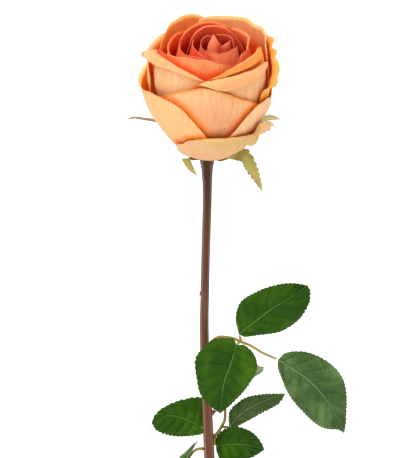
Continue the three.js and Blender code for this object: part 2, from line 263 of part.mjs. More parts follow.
// blades: rows of [midrib x, y, z, left edge x, y, z, right edge x, y, z] from the base to the tip
const LEAFLETS = {
  leaf_1_leaflet_upper: {
    bow: 0.12,
    rows: [
      [11.146, -20, 282.017, 11.146, -20, 282.017, 11.146, -20, 282.017],
      [13.966, -21.12, 284.685, 9.96, -22.145, 287.204, 15.054, -20.193, 280.332],
      [16.779, -22.226, 287.343, 9.094, -24.239, 292.416, 19.535, -20.621, 280.52],
      [19.593, -23.024, 289.895, 9.669, -25.817, 297.468, 24.008, -20.799, 280.902],
      [22.379, -23.579, 292.402, 11.21, -26.947, 302.124, 28.454, -20.78, 281.511],
      [25.159, -23.964, 294.858, 14.137, -27.487, 305.598, 32.867, -20.632, 282.304],
      [27.993, -24.086, 297.163, 17.879, -27.476, 307.994, 37.161, -20.358, 283.565],
      [30.922, -23.878, 299.236, 21.759, -27.11, 310.043, 41.19, -19.988, 285.501],
      [33.95, -23.41, 301.088, 25.757, -26.48, 311.779, 44.937, -19.556, 287.932],
      [37.022, -22.745, 302.817, 29.907, -25.596, 313.083, 48.242, -19.113, 290.942],
      [40.099, -21.885, 304.494, 34.167, -24.445, 314.006, 50.69, -18.713, 294.717],
      [43.134, -20.762, 306.182, 38.519, -22.931, 314.532, 52.468, -18.172, 298.839],
      [46.109, -19.129, 307.848, 43, -20.712, 314.172, 53.952, -17.156, 302.945],
      [49.052, -17.059, 309.47, 47.528, -17.9, 312.951, 53.996, -15.956, 307.21],
      [52.002, -15, 311.099, 52.002, -15, 311.099, 52.002, -15, 311.099],
    ],
  },
  leaf_1_leaflet_middle: {
    bow: 0.12,
    rows: [
      [9.686, -19, 275.093, 9.686, -19, 275.093, 9.686, -19, 275.093],
      [8.809, -20.009, 272.386, 13.793, -19.458, 275.343, 7.946, -20.391, 279.473],
      [7.937, -21.05, 269.689, 17.364, -19.934, 273.297, 2.852, -22.128, 280.294],
      [7.057, -22.038, 266.978, 20.274, -20.417, 270.363, -2.215, -23.79, 280.395],
      [6.157, -22.889, 264.23, 22.106, -20.888, 266.599, -6.695, -25.175, 278.531],
      [5.169, -23.601, 261.466, 22.954, -21.34, 262.526, -10.068, -26.196, 274.889],
      [4.082, -24.227, 258.711, 22.063, -21.89, 258.496, -13.463, -27.086, 271.232],
      [3.062, -24.69, 255.875, 20.13, -22.399, 254.791, -14.85, -27.482, 266.3],
      [2.239, -24.954, 252.902, 18.017, -22.772, 251.143, -14.563, -27.481, 260.984],
      [1.656, -25.017, 249.795, 15.639, -23.053, 247.642, -13.872, -27.284, 255.607],
      [1.239, -24.908, 246.595, 12.853, -23.268, 244.456, -13.076, -26.953, 250.186],
      [0.91, -24.704, 243.344, 9.819, -23.445, 241.507, -11.449, -26.444, 244.93],
      [0.62, -24.459, 240.069, 6.686, -23.6, 238.658, -8.22, -25.693, 240.512],
      [0.332, -24.211, 236.788, 3.396, -23.776, 236.015, -4.353, -24.859, 236.678],
      [0.008, -24, 233.519, 0.008, -24, 233.519, 0.008, -24, 233.519],
    ],
  },
  leaf_1_leaflet_right: {
    bow: 0.12,
    rows: [
      [34.542, -22, 266.884, 34.542, -22, 266.884, 34.542, -22, 266.884],
      [38.122, -23.888, 265.065, 38.45, -24.821, 271.694, 34.16, -23.179, 262.52],
      [41.692, -25.753, 263.236, 43.829, -27.362, 273.626, 35.339, -24.482, 258.212],
      [45.209, -27.329, 261.221, 49.303, -29.446, 274.019, 36.762, -25.546, 253.895],
      [48.736, -28.681, 259.141, 54.599, -31.097, 272.95, 38.527, -26.422, 249.643],
      [52.139, -29.666, 256.736, 59.598, -32.255, 270.81, 40.761, -27.024, 245.522],
      [55.287, -30.2, 253.825, 64.294, -32.937, 267.871, 43.378, -27.344, 241.533],
      [58.295, -30.521, 250.67, 68.541, -33.331, 264.171, 46.322, -27.584, 237.762],
      [61.145, -30.541, 247.234, 71.958, -33.268, 259.455, 49.627, -27.666, 234.261],
      [63.798, -30.161, 243.46, 74.188, -32.621, 253.784, 53.174, -27.479, 230.911],
      [66.215, -29.319, 239.314, 75.234, -31.366, 247.508, 56.869, -26.938, 227.583],
      [68.434, -28.119, 234.881, 75.796, -29.73, 241.005, 61.013, -26.203, 224.893],
      [70.561, -26.75, 230.31, 75.934, -27.891, 234.39, 65.67, -25.503, 223.798],
      [72.67, -25.34, 225.692, 75.664, -25.956, 227.728, 70.396, -24.801, 223.197],
      [74.83, -24, 221.11, 74.83, -24, 221.11, 74.83, -24, 221.11],
    ],
  },
  leaf_2_leaflet_tip: {
    bow: 0.12,
    rows: [
      [3.406, 9, 228.99, 3.406, 9, 228.99, 3.406, 9, 228.99],
      [4.855, 9.698, 230.668, 2.212, 10.144, 231.415, 5.761, 9.39, 228.929],
      [6.292, 10.413, 232.349, 1.291, 11.276, 233.946, 7.792, 9.963, 230.029],
      [7.743, 11.108, 234.028, 1.578, 12.239, 236.678, 9.669, 10.561, 231.367],
      [9.231, 11.746, 235.695, 2.628, 13.032, 239.291, 11.49, 11.124, 232.793],
      [10.759, 12.308, 237.352, 4.157, 13.675, 241.708, 13.264, 11.634, 234.293],
      [12.282, 12.836, 239.027, 6.067, 14.205, 243.874, 14.98, 12.125, 235.866],
      [13.838, 13.312, 240.687, 8.208, 14.637, 245.84, 16.565, 12.599, 237.577],
      [15.474, 13.706, 242.296, 10.53, 14.965, 247.617, 18.039, 13.035, 239.399],
      [17.226, 13.988, 243.809, 12.967, 15.187, 249.258, 19.494, 13.397, 241.26],
      [19.112, 14.127, 245.188, 15.62, 15.232, 250.536, 21.057, 13.633, 243.067],
      [21.093, 14.144, 246.455, 18.496, 15.063, 251.096, 22.893, 13.711, 244.623],
      [23.118, 14.096, 247.66, 21.407, 14.732, 250.919, 24.881, 13.693, 245.992],
      [25.152, 14.032, 248.849, 24.282, 14.351, 250.471, 26.506, 13.751, 247.754],
      [27.164, 14, 250.067, 27.164, 14, 250.067, 27.164, 14, 250.067],
    ],
  },
  leaf_2_leaflet_left: {
    bow: 0.12,
    rows: [
      [-10.806, 8.5, 211.937, -10.806, 8.5, 211.937, -10.806, 8.5, 211.937],
      [-12.952, 8.605, 213.112, -10.089, 8.81, 208.943, -10.27, 8.229, 216.168],
      [-15.074, 8.717, 214.329, -12.106, 9.166, 207.068, -9.732, 7.968, 220.386],
      [-17.205, 8.827, 215.529, -14.878, 9.474, 206.362, -9.586, 7.726, 224.62],
      [-19.376, 8.924, 216.649, -17.685, 9.763, 205.872, -10.365, 7.527, 228.743],
      [-21.618, 8.997, 217.612, -20.504, 10.007, 205.514, -12.704, 7.435, 231.942],
      [-23.919, 9.048, 218.418, -23.332, 10.19, 205.292, -16.585, 7.649, 231.703],
      [-26.252, 9.085, 219.118, -26.161, 10.324, 205.314, -20.461, 7.872, 231.013],
      [-28.629, 9.095, 219.637, -28.963, 10.377, 205.69, -24.296, 8.07, 230.08],
      [-31.046, 9.056, 219.874, -31.714, 10.305, 206.397, -28.05, 8.223, 228.825],
      [-33.46, 8.945, 219.689, -34.408, 10.048, 207.373, -31.664, 8.295, 227.176],
      [-35.769, 8.748, 218.974, -37.019, 9.597, 208.645, -35.123, 8.228, 225.231],
      [-37.96, 8.504, 217.95, -39.435, 9.072, 210.342, -38.288, 8.081, 222.827],
      [-40.104, 8.245, 216.831, -41.086, 8.528, 212.919, -40.759, 7.981, 219.648],
      [-42.291, 8, 215.798, -42.291, 8, 215.798, -42.291, 8, 215.798],
    ],
  },
  leaf_2_leaflet_right_upper: {
    bow: 0.12,
    rows: [
      [5.629, 11, 212.133, 5.629, 11, 212.133, 5.629, 11, 212.133],
      [7.639, 11.492, 214.242, 5.464, 12.603, 215.175, 8.6, 10.415, 212],
      [9.599, 12.017, 216.388, 5.343, 14.193, 218.227, 11.437, 10.261, 213.057],
      [11.616, 12.504, 218.491, 6.085, 15.433, 221.294, 14.115, 10.249, 214.498],
      [13.785, 12.884, 220.466, 8.286, 15.944, 223.863, 16.754, 10.245, 216.011],
      [16.159, 13.114, 222.229, 10.911, 16.198, 226.102, 19.401, 10.252, 217.501],
      [18.674, 13.26, 223.796, 13.692, 16.4, 228.139, 22.036, 10.33, 218.99],
      [21.274, 13.315, 225.234, 16.795, 16.328, 229.671, 24.661, 10.417, 220.491],
      [23.924, 13.258, 226.598, 20.09, 15.965, 230.737, 27.284, 10.447, 222.01],
      [26.6, 13.062, 227.941, 23.445, 15.375, 231.57, 29.955, 10.32, 223.477],
      [29.301, 12.675, 229.271, 26.819, 14.552, 232.29, 32.633, 10.036, 224.97],
      [32.043, 12.095, 230.534, 30.2, 13.523, 232.883, 35.206, 9.717, 226.667],
      [34.805, 11.402, 231.755, 33.58, 12.361, 233.345, 37.391, 9.586, 228.839],
      [37.569, 10.677, 232.962, 36.952, 11.159, 233.759, 38.921, 9.75, 231.487],
      [40.32, 10, 234.186, 40.32, 10, 234.186, 40.32, 10, 234.186],
    ],
  },
  leaf_2_leaflet_right_lower: {
    bow: 0.12,
    rows: [
      [-2.444, 6, 200.891, -2.444, 6, 200.891, -2.444, 6, 200.891],
      [-0.29, 5.764, 201.287, -2.821, 5.337, 204.441, -2.264, 6.162, 197.696],
      [1.86, 5.512, 201.718, -1.838, 4.709, 207.791, -1.397, 6.31, 194.622],
      [4.011, 5.274, 202.118, 0.123, 4.191, 210.542, -0.199, 6.474, 191.675],
      [6.171, 5.081, 202.418, 2.641, 3.802, 212.623, 1.83, 6.631, 189.33],
      [8.34, 4.956, 202.56, 5.497, 3.544, 214.016, 4.356, 6.763, 187.623],
      [10.512, 4.86, 202.593, 8.555, 3.394, 214.593, 7.195, 6.8, 186.725],
      [12.682, 4.81, 202.52, 11.635, 3.399, 214.109, 10.115, 6.694, 187.182],
      [14.849, 4.836, 202.326, 14.639, 3.515, 213.168, 12.865, 6.549, 188.406],
      [17.009, 4.967, 201.995, 17.565, 3.753, 211.911, 15.539, 6.467, 189.792],
      [19.157, 5.235, 201.494, 20.314, 4.162, 210.17, 18.169, 6.489, 191.23],
      [21.286, 5.625, 200.826, 22.747, 4.742, 207.85, 20.691, 6.59, 192.841],
      [23.404, 6.081, 200.065, 24.851, 5.435, 205.108, 23.127, 6.739, 194.573],
      [25.52, 6.555, 199.279, 26.376, 6.217, 201.895, 25.411, 6.885, 196.517],
      [27.645, 7, 198.533, 27.645, 7, 198.533, 27.645, 7, 198.533],
    ],
  },
  leaf_3_leaflet_side: {
    bow: 0.12,
    rows: [
      [-22.03, 9.5, 188.638, -22.03, 9.5, 188.638, -22.03, 9.5, 188.638],
      [-21.541, 9.45, 189.798, -23.222, 9.964, 189.436, -21.139, 9.279, 189.551],
      [-21.061, 9.397, 190.964, -24.438, 10.424, 190.204, -20.382, 9.113, 190.578],
      [-20.57, 9.348, 192.122, -25.416, 10.834, 191.238, -19.779, 9.019, 191.695],
      [-20.048, 9.31, 193.26, -24.852, 10.794, 192.636, -19.225, 8.968, 192.824],
      [-19.486, 9.288, 194.368, -23.666, 10.537, 193.724, -18.688, 8.956, 193.946],
      [-18.896, 9.277, 195.455, -22.509, 10.327, 194.829, -18.171, 8.974, 195.067],
      [-18.283, 9.276, 196.522, -21.435, 10.182, 196.006, -17.687, 9.024, 196.191],
      [-17.649, 9.283, 197.572, -20.355, 10.057, 197.167, -17.176, 9.081, 197.299],
      [-16.996, 9.299, 198.606, -19.278, 9.953, 198.323, -16.633, 9.142, 198.388],
      [-16.32, 9.327, 199.617, -18.214, 9.879, 199.478, -16.075, 9.219, 199.461],
      [-15.62, 9.365, 200.605, -17.121, 9.819, 200.596, -15.49, 9.307, 200.515],
      [-14.908, 9.41, 201.58, -15.954, 9.737, 201.63, -14.856, 9.386, 201.539],
      [-14.193, 9.457, 202.551, -14.722, 9.624, 202.583, -14.172, 9.447, 202.535],
      [-13.484, 9.5, 203.529, -13.484, 9.5, 203.529, -13.484, 9.5, 203.529],
    ],
  },
  leaf_3_leaflet_tip: {
    bow: 0.12,
    rows: [
      [-24.264, 12.5, 182.815, -24.264, 12.5, 182.815, -24.264, 12.5, 182.815],
      [-25.708, 12.654, 181.753, -24.058, 12.802, 180.606, -25.228, 12.458, 185.113],
      [-27.159, 12.825, 180.694, -24.142, 13.108, 178.393, -26.811, 12.443, 186.854],
      [-28.596, 12.955, 179.627, -24.905, 13.333, 176.358, -29.132, 12.45, 187.186],
      [-30.002, 13, 178.544, -25.915, 13.449, 174.494, -31.47, 12.405, 186.966],
      [-31.38, 13.015, 177.433, -27.117, 13.511, 172.789, -33.685, 12.366, 186.156],
      [-32.74, 13.008, 176.304, -28.516, 13.525, 171.285, -35.669, 12.344, 184.81],
      [-34.082, 12.92, 175.184, -30.05, 13.439, 169.98, -37.435, 12.268, 183.175],
      [-35.406, 12.704, 174.093, -31.679, 13.208, 168.872, -38.936, 12.091, 181.306],
      [-36.71, 12.321, 173.049, -33.403, 12.792, 168.01, -40.114, 11.776, 179.255],
      [-37.99, 11.769, 172.047, -35.231, 12.183, 167.477, -40.921, 11.319, 177.074],
      [-39.252, 11.112, 171.072, -37.156, 11.437, 167.387, -41.508, 10.771, 174.855],
      [-40.505, 10.4, 170.109, -39.109, 10.62, 167.609, -41.998, 10.174, 172.631],
      [-41.756, 9.682, 169.15, -41.062, 9.79, 167.936, -42.474, 9.57, 170.406],
      [-43.012, 9, 168.182, -43.012, 9, 168.182, -43.012, 9, 168.182],
    ],
  },
};
const SEPALS = {
  sepal_front_left: {
    bow: 0.1,
    rows: [
      [-10.447, -2.406, 386.962, -11.369, -1.537, 387.254, -9.525, -3.274, 386.669],
      [-13.396, -5.5, 386.854, -14.679, -4.164, 387.274, -12.113, -6.837, 386.434],
      [-16.856, -8.613, 387.127, -18.561, -7.148, 387.616, -15.152, -10.077, 386.638],
      [-20.57, -14.5, 388.798, -18.156, -15.411, 389.117, -22.891, -13.624, 388.49],
      [-18.007, -13, 383.307, -16.587, -12.828, 384.225, -19.427, -13.172, 382.389],
      [-13.604, -11, 377.368, -13.604, -11, 377.368, -13.604, -11, 377.368],
    ],
  },
  sepal_front_right: {
    bow: 0.1,
    rows: [
      [-5.565, -2.296, 386.818, -6.532, -3.275, 386.561, -4.598, -1.317, 387.075],
      [-2.491, -5.256, 386.533, -3.938, -6.865, 386.139, -1.044, -3.646, 386.927],
      [1.489, -8.624, 386.765, 0.065, -11.477, 386.496, 2.913, -5.771, 387.034],
      [13.185, -13.5, 390.979, 14.221, -11.988, 394.646, 12.148, -15.012, 387.311],
      [17.651, -12.5, 383.794, 20.742, -11.983, 385.565, 14.56, -13.017, 382.022],
      [21.264, -11, 376.153, 23.344, -10.789, 377.111, 19.184, -11.211, 375.194],
      [24.977, -9, 367.126, 24.977, -9, 367.126, 24.977, -9, 367.126],
    ],
  },
  sepal_left: {
    bow: 0.1,
    rows: [
      [-11.353, 2.15, 388.475, -10.718, 3.235, 388.805, -11.989, 1.065, 388.146],
      [-20.639, 6.674, 391.496, -19.817, 8.199, 391.985, -21.461, 5.149, 391.007],
      [-29.557, 8.722, 398.591, -28.89, 10.08, 399.111, -30.224, 7.364, 398.071],
      [-36.287, 8.723, 406.203, -36.707, 8.425, 405.465, -35.868, 9.021, 406.942],
      [-46.84, 12, 407.084, -46.924, 11.838, 406.513, -46.755, 12.162, 407.656],
      [-52.177, 11, 407.908, -52.122, 10.867, 407.429, -52.233, 11.133, 408.387],
      [-56.333, 10, 406.537, -56.333, 10, 406.537, -56.333, 10, 406.537],
    ],
  },
  sepal_right: {
    bow: 0.1,
    rows: [
      [-4.649, 2.077, 388.206, -4.02, 0.895, 387.798, -5.277, 3.26, 388.613],
      [4.944, 6.398, 390.467, 5.859, 4.515, 389.791, 4.03, 8.282, 391.143],
      [14.46, 8.124, 397.202, 15.444, 5.906, 396.269, 13.475, 10.343, 398.134],
      [21.458, 7.39, 405.544, 22.38, 5.514, 404.858, 20.536, 9.267, 406.23],
      [30.242, 12, 407.816, 30.516, 11.363, 406.375, 29.967, 12.637, 409.258],
      [36.491, 11, 406.81, 36.491, 11, 406.81, 36.491, 11, 406.81],
    ],
  },
  sepal_back: {
    bow: 0.1,
    rows: [
      [-8.088, 4.03, 388.966, -6.689, 4.062, 388.925, -9.487, 3.999, 389.008],
      [-8.173, 11.688, 391.931, -5.974, 11.738, 391.867, -10.371, 11.639, 391.996],
      [-8.229, 18.924, 395.547, -5.231, 18.992, 395.459, -11.227, 18.857, 395.635],
      [-8.377, 26.136, 396.002, -5.979, 26.19, 395.931, -10.776, 26.082, 396.072],
      [-8.608, 33.231, 393.581, -8.608, 33.231, 393.581, -8.608, 33.231, 393.581],
    ],
  },
};

// tubes: rows of [x, y, z, radius].  A stalk is its main tube, then its branches
const STEM = [
  [-8.071, 0.679, 386.983, 4.5],
  [-8.113, 1.05, 385.842, 4.45],
  [-8.08, 0.85, 384, 4.35],
  [-8.06, 0.8, 381.6, 3.85],
  [-8.03, 0.7, 379, 3.4],
  [-7.95, 0.35, 373.2, 2.98],
  [-7.877, 0, 369.183, 2.8],
  [-7.938, 0, 359.949, 2.65],
  [-8.239, 0, 347.584, 2.6],
  [-8.602, 0, 335.158, 2.55],
  [-9.027, 0, 318.911, 2.55],
  [-9.335, 0, 302.559, 2.6],
  [-9.706, 0, 284.195, 2.7],
  [-9.532, 0, 265.697, 2.8],
  [-8.624, 0, 239.961, 2.95],
  [-7.952, 0, 227.645, 3.05],
  [-7.277, 0, 210.695, 3.2],
  [-6.659, 0, 196.923, 3.25],
  [-6.051, 0, 180, 3.3],
  [-3.898, 0, 120, 3.3],
  [-1.744, 0, 60, 3.3],
  [0.145, 0, 7.4, 3.3],
];
const STALKS = {
  leaf_1_petiole: [
    [
      [-5.394, -1.5, 270.407, 1.5],
      [-4.067, -5, 273.518, 1.1],
      [1.213, -12, 277.934, 0.95],
      [7.594, -17.5, 278.825, 0.9],
      [12.068, -19.5, 277.396, 0.9],
      [17.21, -20.5, 275.582, 0.8],
      [26.021, -21.5, 270.624, 0.75],
      [33.699, -22, 267.325, 0.65],
    ],
    [
      [12.488, -19.5, 277.207, 0.85],
      [12.117, -19.8, 279.127, 0.75],
      [11.448, -20, 281.139, 0.6],
    ],
    [
      [11.89, -19.4, 277.426, 0.85],
      [10.935, -19.4, 276.482, 0.75],
      [10.043, -19.1, 275.567, 0.6],
    ],
  ],
  leaf_2_petiole: [
    [
      [-3.696, 3, 208.594, 1.4],
      [-2.08, 6, 209.117, 1.1],
      [0.657, 9.5, 212.094, 1],
      [3.127, 10, 218.153, 0.9],
      [3.347, 9, 228.076, 0.65],
    ],
    [
      [-3.448, 3.6, 208.566, 0.9],
      [-6.781, 8, 209.031, 0.8],
      [-10.002, 8.7, 211.863, 0.6],
    ],
    [
      [1.028, 9.5, 212.686, 0.85],
      [3.143, 10.4, 212.091, 0.75],
      [5.132, 10.9, 212.039, 0.6],
    ],
    [
      [-2.703, 4.6, 208.719, 0.9],
      [-3.314, 6, 205.172, 0.8],
      [-3.064, 6.1, 201.842, 0.6],
    ],
  ],
  leaf_3_petiole: [
    [
      [-10.306, 3, 200.514, 1.1],
      [-12.672, 7, 199.061, 0.9],
      [-15.172, 10, 196.995, 0.85],
      [-16.992, 11.8, 194.653, 0.8],
      [-19.498, 12.4, 190.507, 0.75],
      [-23.636, 12.5, 183.814, 0.65],
    ],
    [
      [-19.498, 12.4, 190.507, 0.7],
      [-20.801, 11.3, 189.27, 0.6],
      [-21.724, 9.9, 188.217, 0.5],
    ],
  ],
};
// thorns on the stem: [x, y, z, tip dx, dy, dz, base radius]
const THORNS = [
  [-10.9, -0.4, 302.4, -2.4, -0.5, -1.3, 1.1],
  [-5.2, -1.2, 226.0, 3.4, -0.8, 1.8, 1.4],
];

// vase outline: outside from the centre of the foot up to the rim, then inside
const VASE_OUTLINE = [
  [0, 0], [28.5, 0], [30.6, 0.6], [31.8, 2.2], [33.6, 8], [36.4, 21], [37.8, 37], [37.3, 54], [34.8, 71],
  [30.2, 88], [24.4, 104], [19.2, 119], [15.4, 133], [13.4, 146], [13, 157], [13.9, 167], [15.9, 175],
  [17.2, 178.6], [17, VASE_HEIGHT - 0.3], [16.2, VASE_HEIGHT], [15.2, 179.4], [13.4, 176], [11.2, 168], [10, 157],
  [10.4, 146], [12.4, 133], [16.2, 119], [21.4, 104], [27.2, 88], [31.8, 71], [34.3, 54], [34.8, 37],
  [33.4, 21], [30.6, 10.5], [27.5, 7.6], [24, 7], [0, 7],
];

// ------------------------------------------------------------------- helpers
const DEG = Math.PI / 180;
const clamp01 = (x) => Math.min(1, Math.max(0, x));
const smooth = (x) => { const c = clamp01(x); return c * c * (3 - 2 * c); };

function lerpTable(table, x) {
  if (x <= table[0][0]) return table[0][1];
  for (let i = 1; i < table.length; i++) {
    if (x <= table[i][0]) {
      const t = (x - table[i - 1][0]) / (table[i][0] - table[i - 1][0]);
      return table[i - 1][1] + t * (table[i][1] - table[i - 1][1]);
    }
  }
  return table[table.length - 1][1];
}

function lerpXY(x, xs, ys) {
  if (x <= xs[0]) return ys[0];
  for (let i = 1; i < xs.length; i++) {
    if (x <= xs[i]) return ys[i - 1] + (ys[i] - ys[i - 1]) * (x - xs[i - 1]) / (xs[i] - xs[i - 1]);
  }
  return ys[ys.length - 1];
}

// smooth interpolation that never overshoots the rows it passes through
function hermite(rows, knots, x) {
  const m = rows.length, w = rows[0].length;
  let k = 0;
  while (k < m - 2 && x >= knots[k + 1]) k++;
  const h = knots[k + 1] - knots[k], s = (x - knots[k]) / h;
  const slope = (i, c) => (rows[i + 1][c] - rows[i][c]) / (knots[i + 1] - knots[i]);
  const tangent = (j, c) => {
    if (j === 0) return slope(0, c);
    if (j === m - 1) return slope(m - 2, c);
    const a = slope(j - 1, c), b = slope(j, c);
    return a * b > 0 ? 2 * a * b / (a + b) : 0;
  };
  const out = [];
  for (let c = 0; c < w; c++) {
    out.push((2 * s ** 3 - 3 * s * s + 1) * rows[k][c] + (s ** 3 - 2 * s * s + s) * h * tangent(k, c)
      + (-2 * s ** 3 + 3 * s * s) * rows[k + 1][c] + (s ** 3 - s * s) * h * tangent(k + 1, c));
  }
  return out;
}

const cup = (h, depth) => lerpTable(CUP_PROFILE, Math.max(h - CUP_PITCH_UP * depth, 0)) - CUP_PITCH_IN * depth;

function cupBase(depth) {
  let lo = CUP_PITCH_UP * depth, hi = lo + 20;
  for (let i = 0; i < 40; i++) {
    const mid = (lo + hi) / 2;
    if (cup(mid, depth) < PETAL_BASE_RADIUS) lo = mid; else hi = mid;
  }
  return hi;
}

const headPoint = (front, right, up) => HEAD_BASE.clone()
  .addScaledVector(HEAD_FRONT, front).addScaledVector(HEAD_RIGHT, right).addScaledVector(HEAD_UP, up);

function geometryFrom(points, faces) {
  let volume = 0;
  for (const [a, b, c] of faces) volume += points[a].dot(points[b].clone().cross(points[c]));
  const flip = volume < 0;
  const positions = new Float32Array(points.length * 3);
  points.forEach((p, i) => positions.set([p.x, p.y, p.z], i * 3));
  const index = [];
  for (const [a, b, c] of faces) index.push(a, flip ? c : b, flip ? b : c);
  const g = new THREE.BufferGeometry();
  g.setAttribute('position', new THREE.BufferAttribute(positions, 3));
  g.setIndex(index);
  g.computeVertexNormals();
  return g;
}

// closed shell of even thickness around a grid of points
function shell(grid, thickness) {
  const nu = grid.length, nv = grid[0].length, pts = [], faces = [];
  const at = (i, j) => grid[Math.min(Math.max(i, 0), nu - 1)][Math.min(Math.max(j, 0), nv - 1)];
  const normals = grid.map((row, i) => row.map((p, j) => {
    const du = at(i + 1, j).clone().sub(at(i - 1, j));
    const dv = at(i, j + 1).clone().sub(at(i, j - 1));
    return du.cross(dv).normalize();
  }));
  for (const side of [0.5, -0.5]) {
    for (let i = 0; i < nu; i++) for (let j = 0; j < nv; j++) {
      pts.push(grid[i][j].clone().addScaledVector(normals[i][j], side * thickness));
    }
  }
  const id = (s, i, j) => s * nu * nv + i * nv + j;
  for (let i = 0; i < nu - 1; i++) for (let j = 0; j < nv - 1; j++) {
    faces.push([id(0, i, j), id(0, i + 1, j), id(0, i + 1, j + 1)], [id(0, i, j), id(0, i + 1, j + 1), id(0, i, j + 1)]);
    faces.push([id(1, i, j), id(1, i + 1, j + 1), id(1, i + 1, j)], [id(1, i, j), id(1, i, j + 1), id(1, i + 1, j + 1)]);
  }
  const rim = [];
  for (let i = 0; i < nu - 1; i++) rim.push([i, 0]);
  for (let j = 0; j < nv - 1; j++) rim.push([nu - 1, j]);
  for (let i = nu - 1; i > 0; i--) rim.push([i, nv - 1]);
  for (let j = nv - 1; j > 0; j--) rim.push([0, j]);
  rim.forEach(([i, j], k) => {
    const [a, b] = rim[(k + 1) % rim.length];
    faces.push([id(0, i, j), id(1, i, j), id(1, a, b)], [id(0, i, j), id(1, a, b), id(0, a, b)]);
  });
  return geometryFrom(pts, faces);
}

function petalGeometry(spec) {
  const { depth, edge, shift, blend, rim, tight } = spec;
  const fade = (h) => smooth((h - blend[0]) / (blend[1] - blend[0]));
  const radius = (h, offset) => Math.max(cup(h, depth) + offset * fade(h), PETAL_BASE_RADIUS);
  const middle = spec.middle ?? (rim[0][0] + rim[rim.length - 1][0]) / 2;
  const knots = [0];
  const outline = rim.map(([a, h, k]) => {
    const r = cup(h, depth) + k * fade(h);
    return [r * Math.cos(a * DEG), r * Math.sin(a * DEG), h];
  });
  for (let i = 1; i < rim.length; i++) {
    knots.push(knots[i - 1] + Math.max(1, Math.hypot(...outline[i].map((c, j) => c - outline[i - 1][j]))));
  }
  const span = Math.max(...rim.map((r) => r[0])) - Math.min(...rim.map((r) => r[0]));
  const columns = Math.max(6, Math.ceil(span / 17) + 2), rows = 7;
  const lips = Math.max(...rim.map((r) => r[3] * r[4])) > 400 ? (tight < 0.8 ? 4 : 3) : 1;
  const base = cupBase(depth), grid = [];
  for (let i = 0; i < columns; i++) {
    const u = i / (columns - 1);
    const [angle, top, offset, lip, turnDeg] = hermite(rim, knots, u * knots[knots.length - 1]);
    const turn = Math.max(turnDeg, 0) * DEG, bend = turn > 1e-3 ? lip * tight / turn : 0;
    const crest = Math.max(top - bend * Math.sin(Math.min(turn, Math.PI / 2)) * 0.9, base + 2);
    const hs = [], rs = [], ls = [0];
    for (let j = 0; j <= 80; j++) { hs.push(base + (crest - base) * j / 80); rs.push(radius(hs[j], offset)); }
    for (let j = 1; j <= 80; j++) ls.push(ls[j - 1] + Math.hypot(hs[j] - hs[j - 1], rs[j] - rs[j - 1]));
    const column = [];
    const put = (h, r, v) => {
      const side = edge[0] * (1 - u) + edge[1] * u;
      const a = (middle + (angle - middle) * (side + (1 - side) * Math.min(v, 1))) * DEG;
      const s = smooth((h - 20) / 50);
      column.push(headPoint(r * Math.cos(a) + shift[1] * s, r * Math.sin(a) + shift[0] * s, h));
    };
    for (let j = 0; j < rows; j++) {
      const t = (j / (rows - 1)) ** 1.4, l = ls[80] * t;
      put(lerpXY(l, ls, hs), lerpXY(l, ls, rs), t);
    }
    const start = Math.atan2(hs[80] - hs[76], rs[80] - rs[76]), steps = lips * 8;
    let r = rs[80], h = hs[80];
    for (let q = 0; q < steps; q++) {
      const a = start - turn * smooth((q + 0.5) / steps / tight);
      r += Math.cos(a) * Math.max(lip, 0.15) / steps;
      h += Math.sin(a) * Math.max(lip, 0.15) / steps;
      if (q % 8 === 7) put(h, r, 1);
    }
    grid.push(column);
  }
  return shell(grid, PETAL_THICKNESS);
}

function bladeGeometry(spec, thickness) {
  const rows = spec.rows, knots = rows.map((_, i) => i), stations = spec.rows.length > 6 ? 9 : 7, grid = [];
  for (let i = 0; i < stations; i++) {
    const f = hermite(rows, knots, i / (stations - 1) * (rows.length - 1));
    const g = hermite(rows, knots, Math.min(i + 0.5, stations - 1) / (stations - 1) * (rows.length - 1));
    const h = hermite(rows, knots, Math.max(i - 0.5, 0) / (stations - 1) * (rows.length - 1));
    const [middle, left, right] = [0, 3, 6].map((k) => new THREE.Vector3(f[k], f[k + 1], f[k + 2]));
    const along = new THREE.Vector3(g[0] - h[0], g[1] - h[1], g[2] - h[2]);
    const up = along.cross(right.clone().sub(left)).normalize();
    const line = [];
    for (let j = -2; j <= 2; j++) {
      const arm = (j < 0 ? left : right).clone().sub(middle);
      line.push(middle.clone().addScaledVector(arm, Math.abs(j) / 2).addScaledVector(up, spec.bow * arm.length() * j * j / 4));
    }
    grid.push(line);
  }
  return shell(grid, thickness);
}

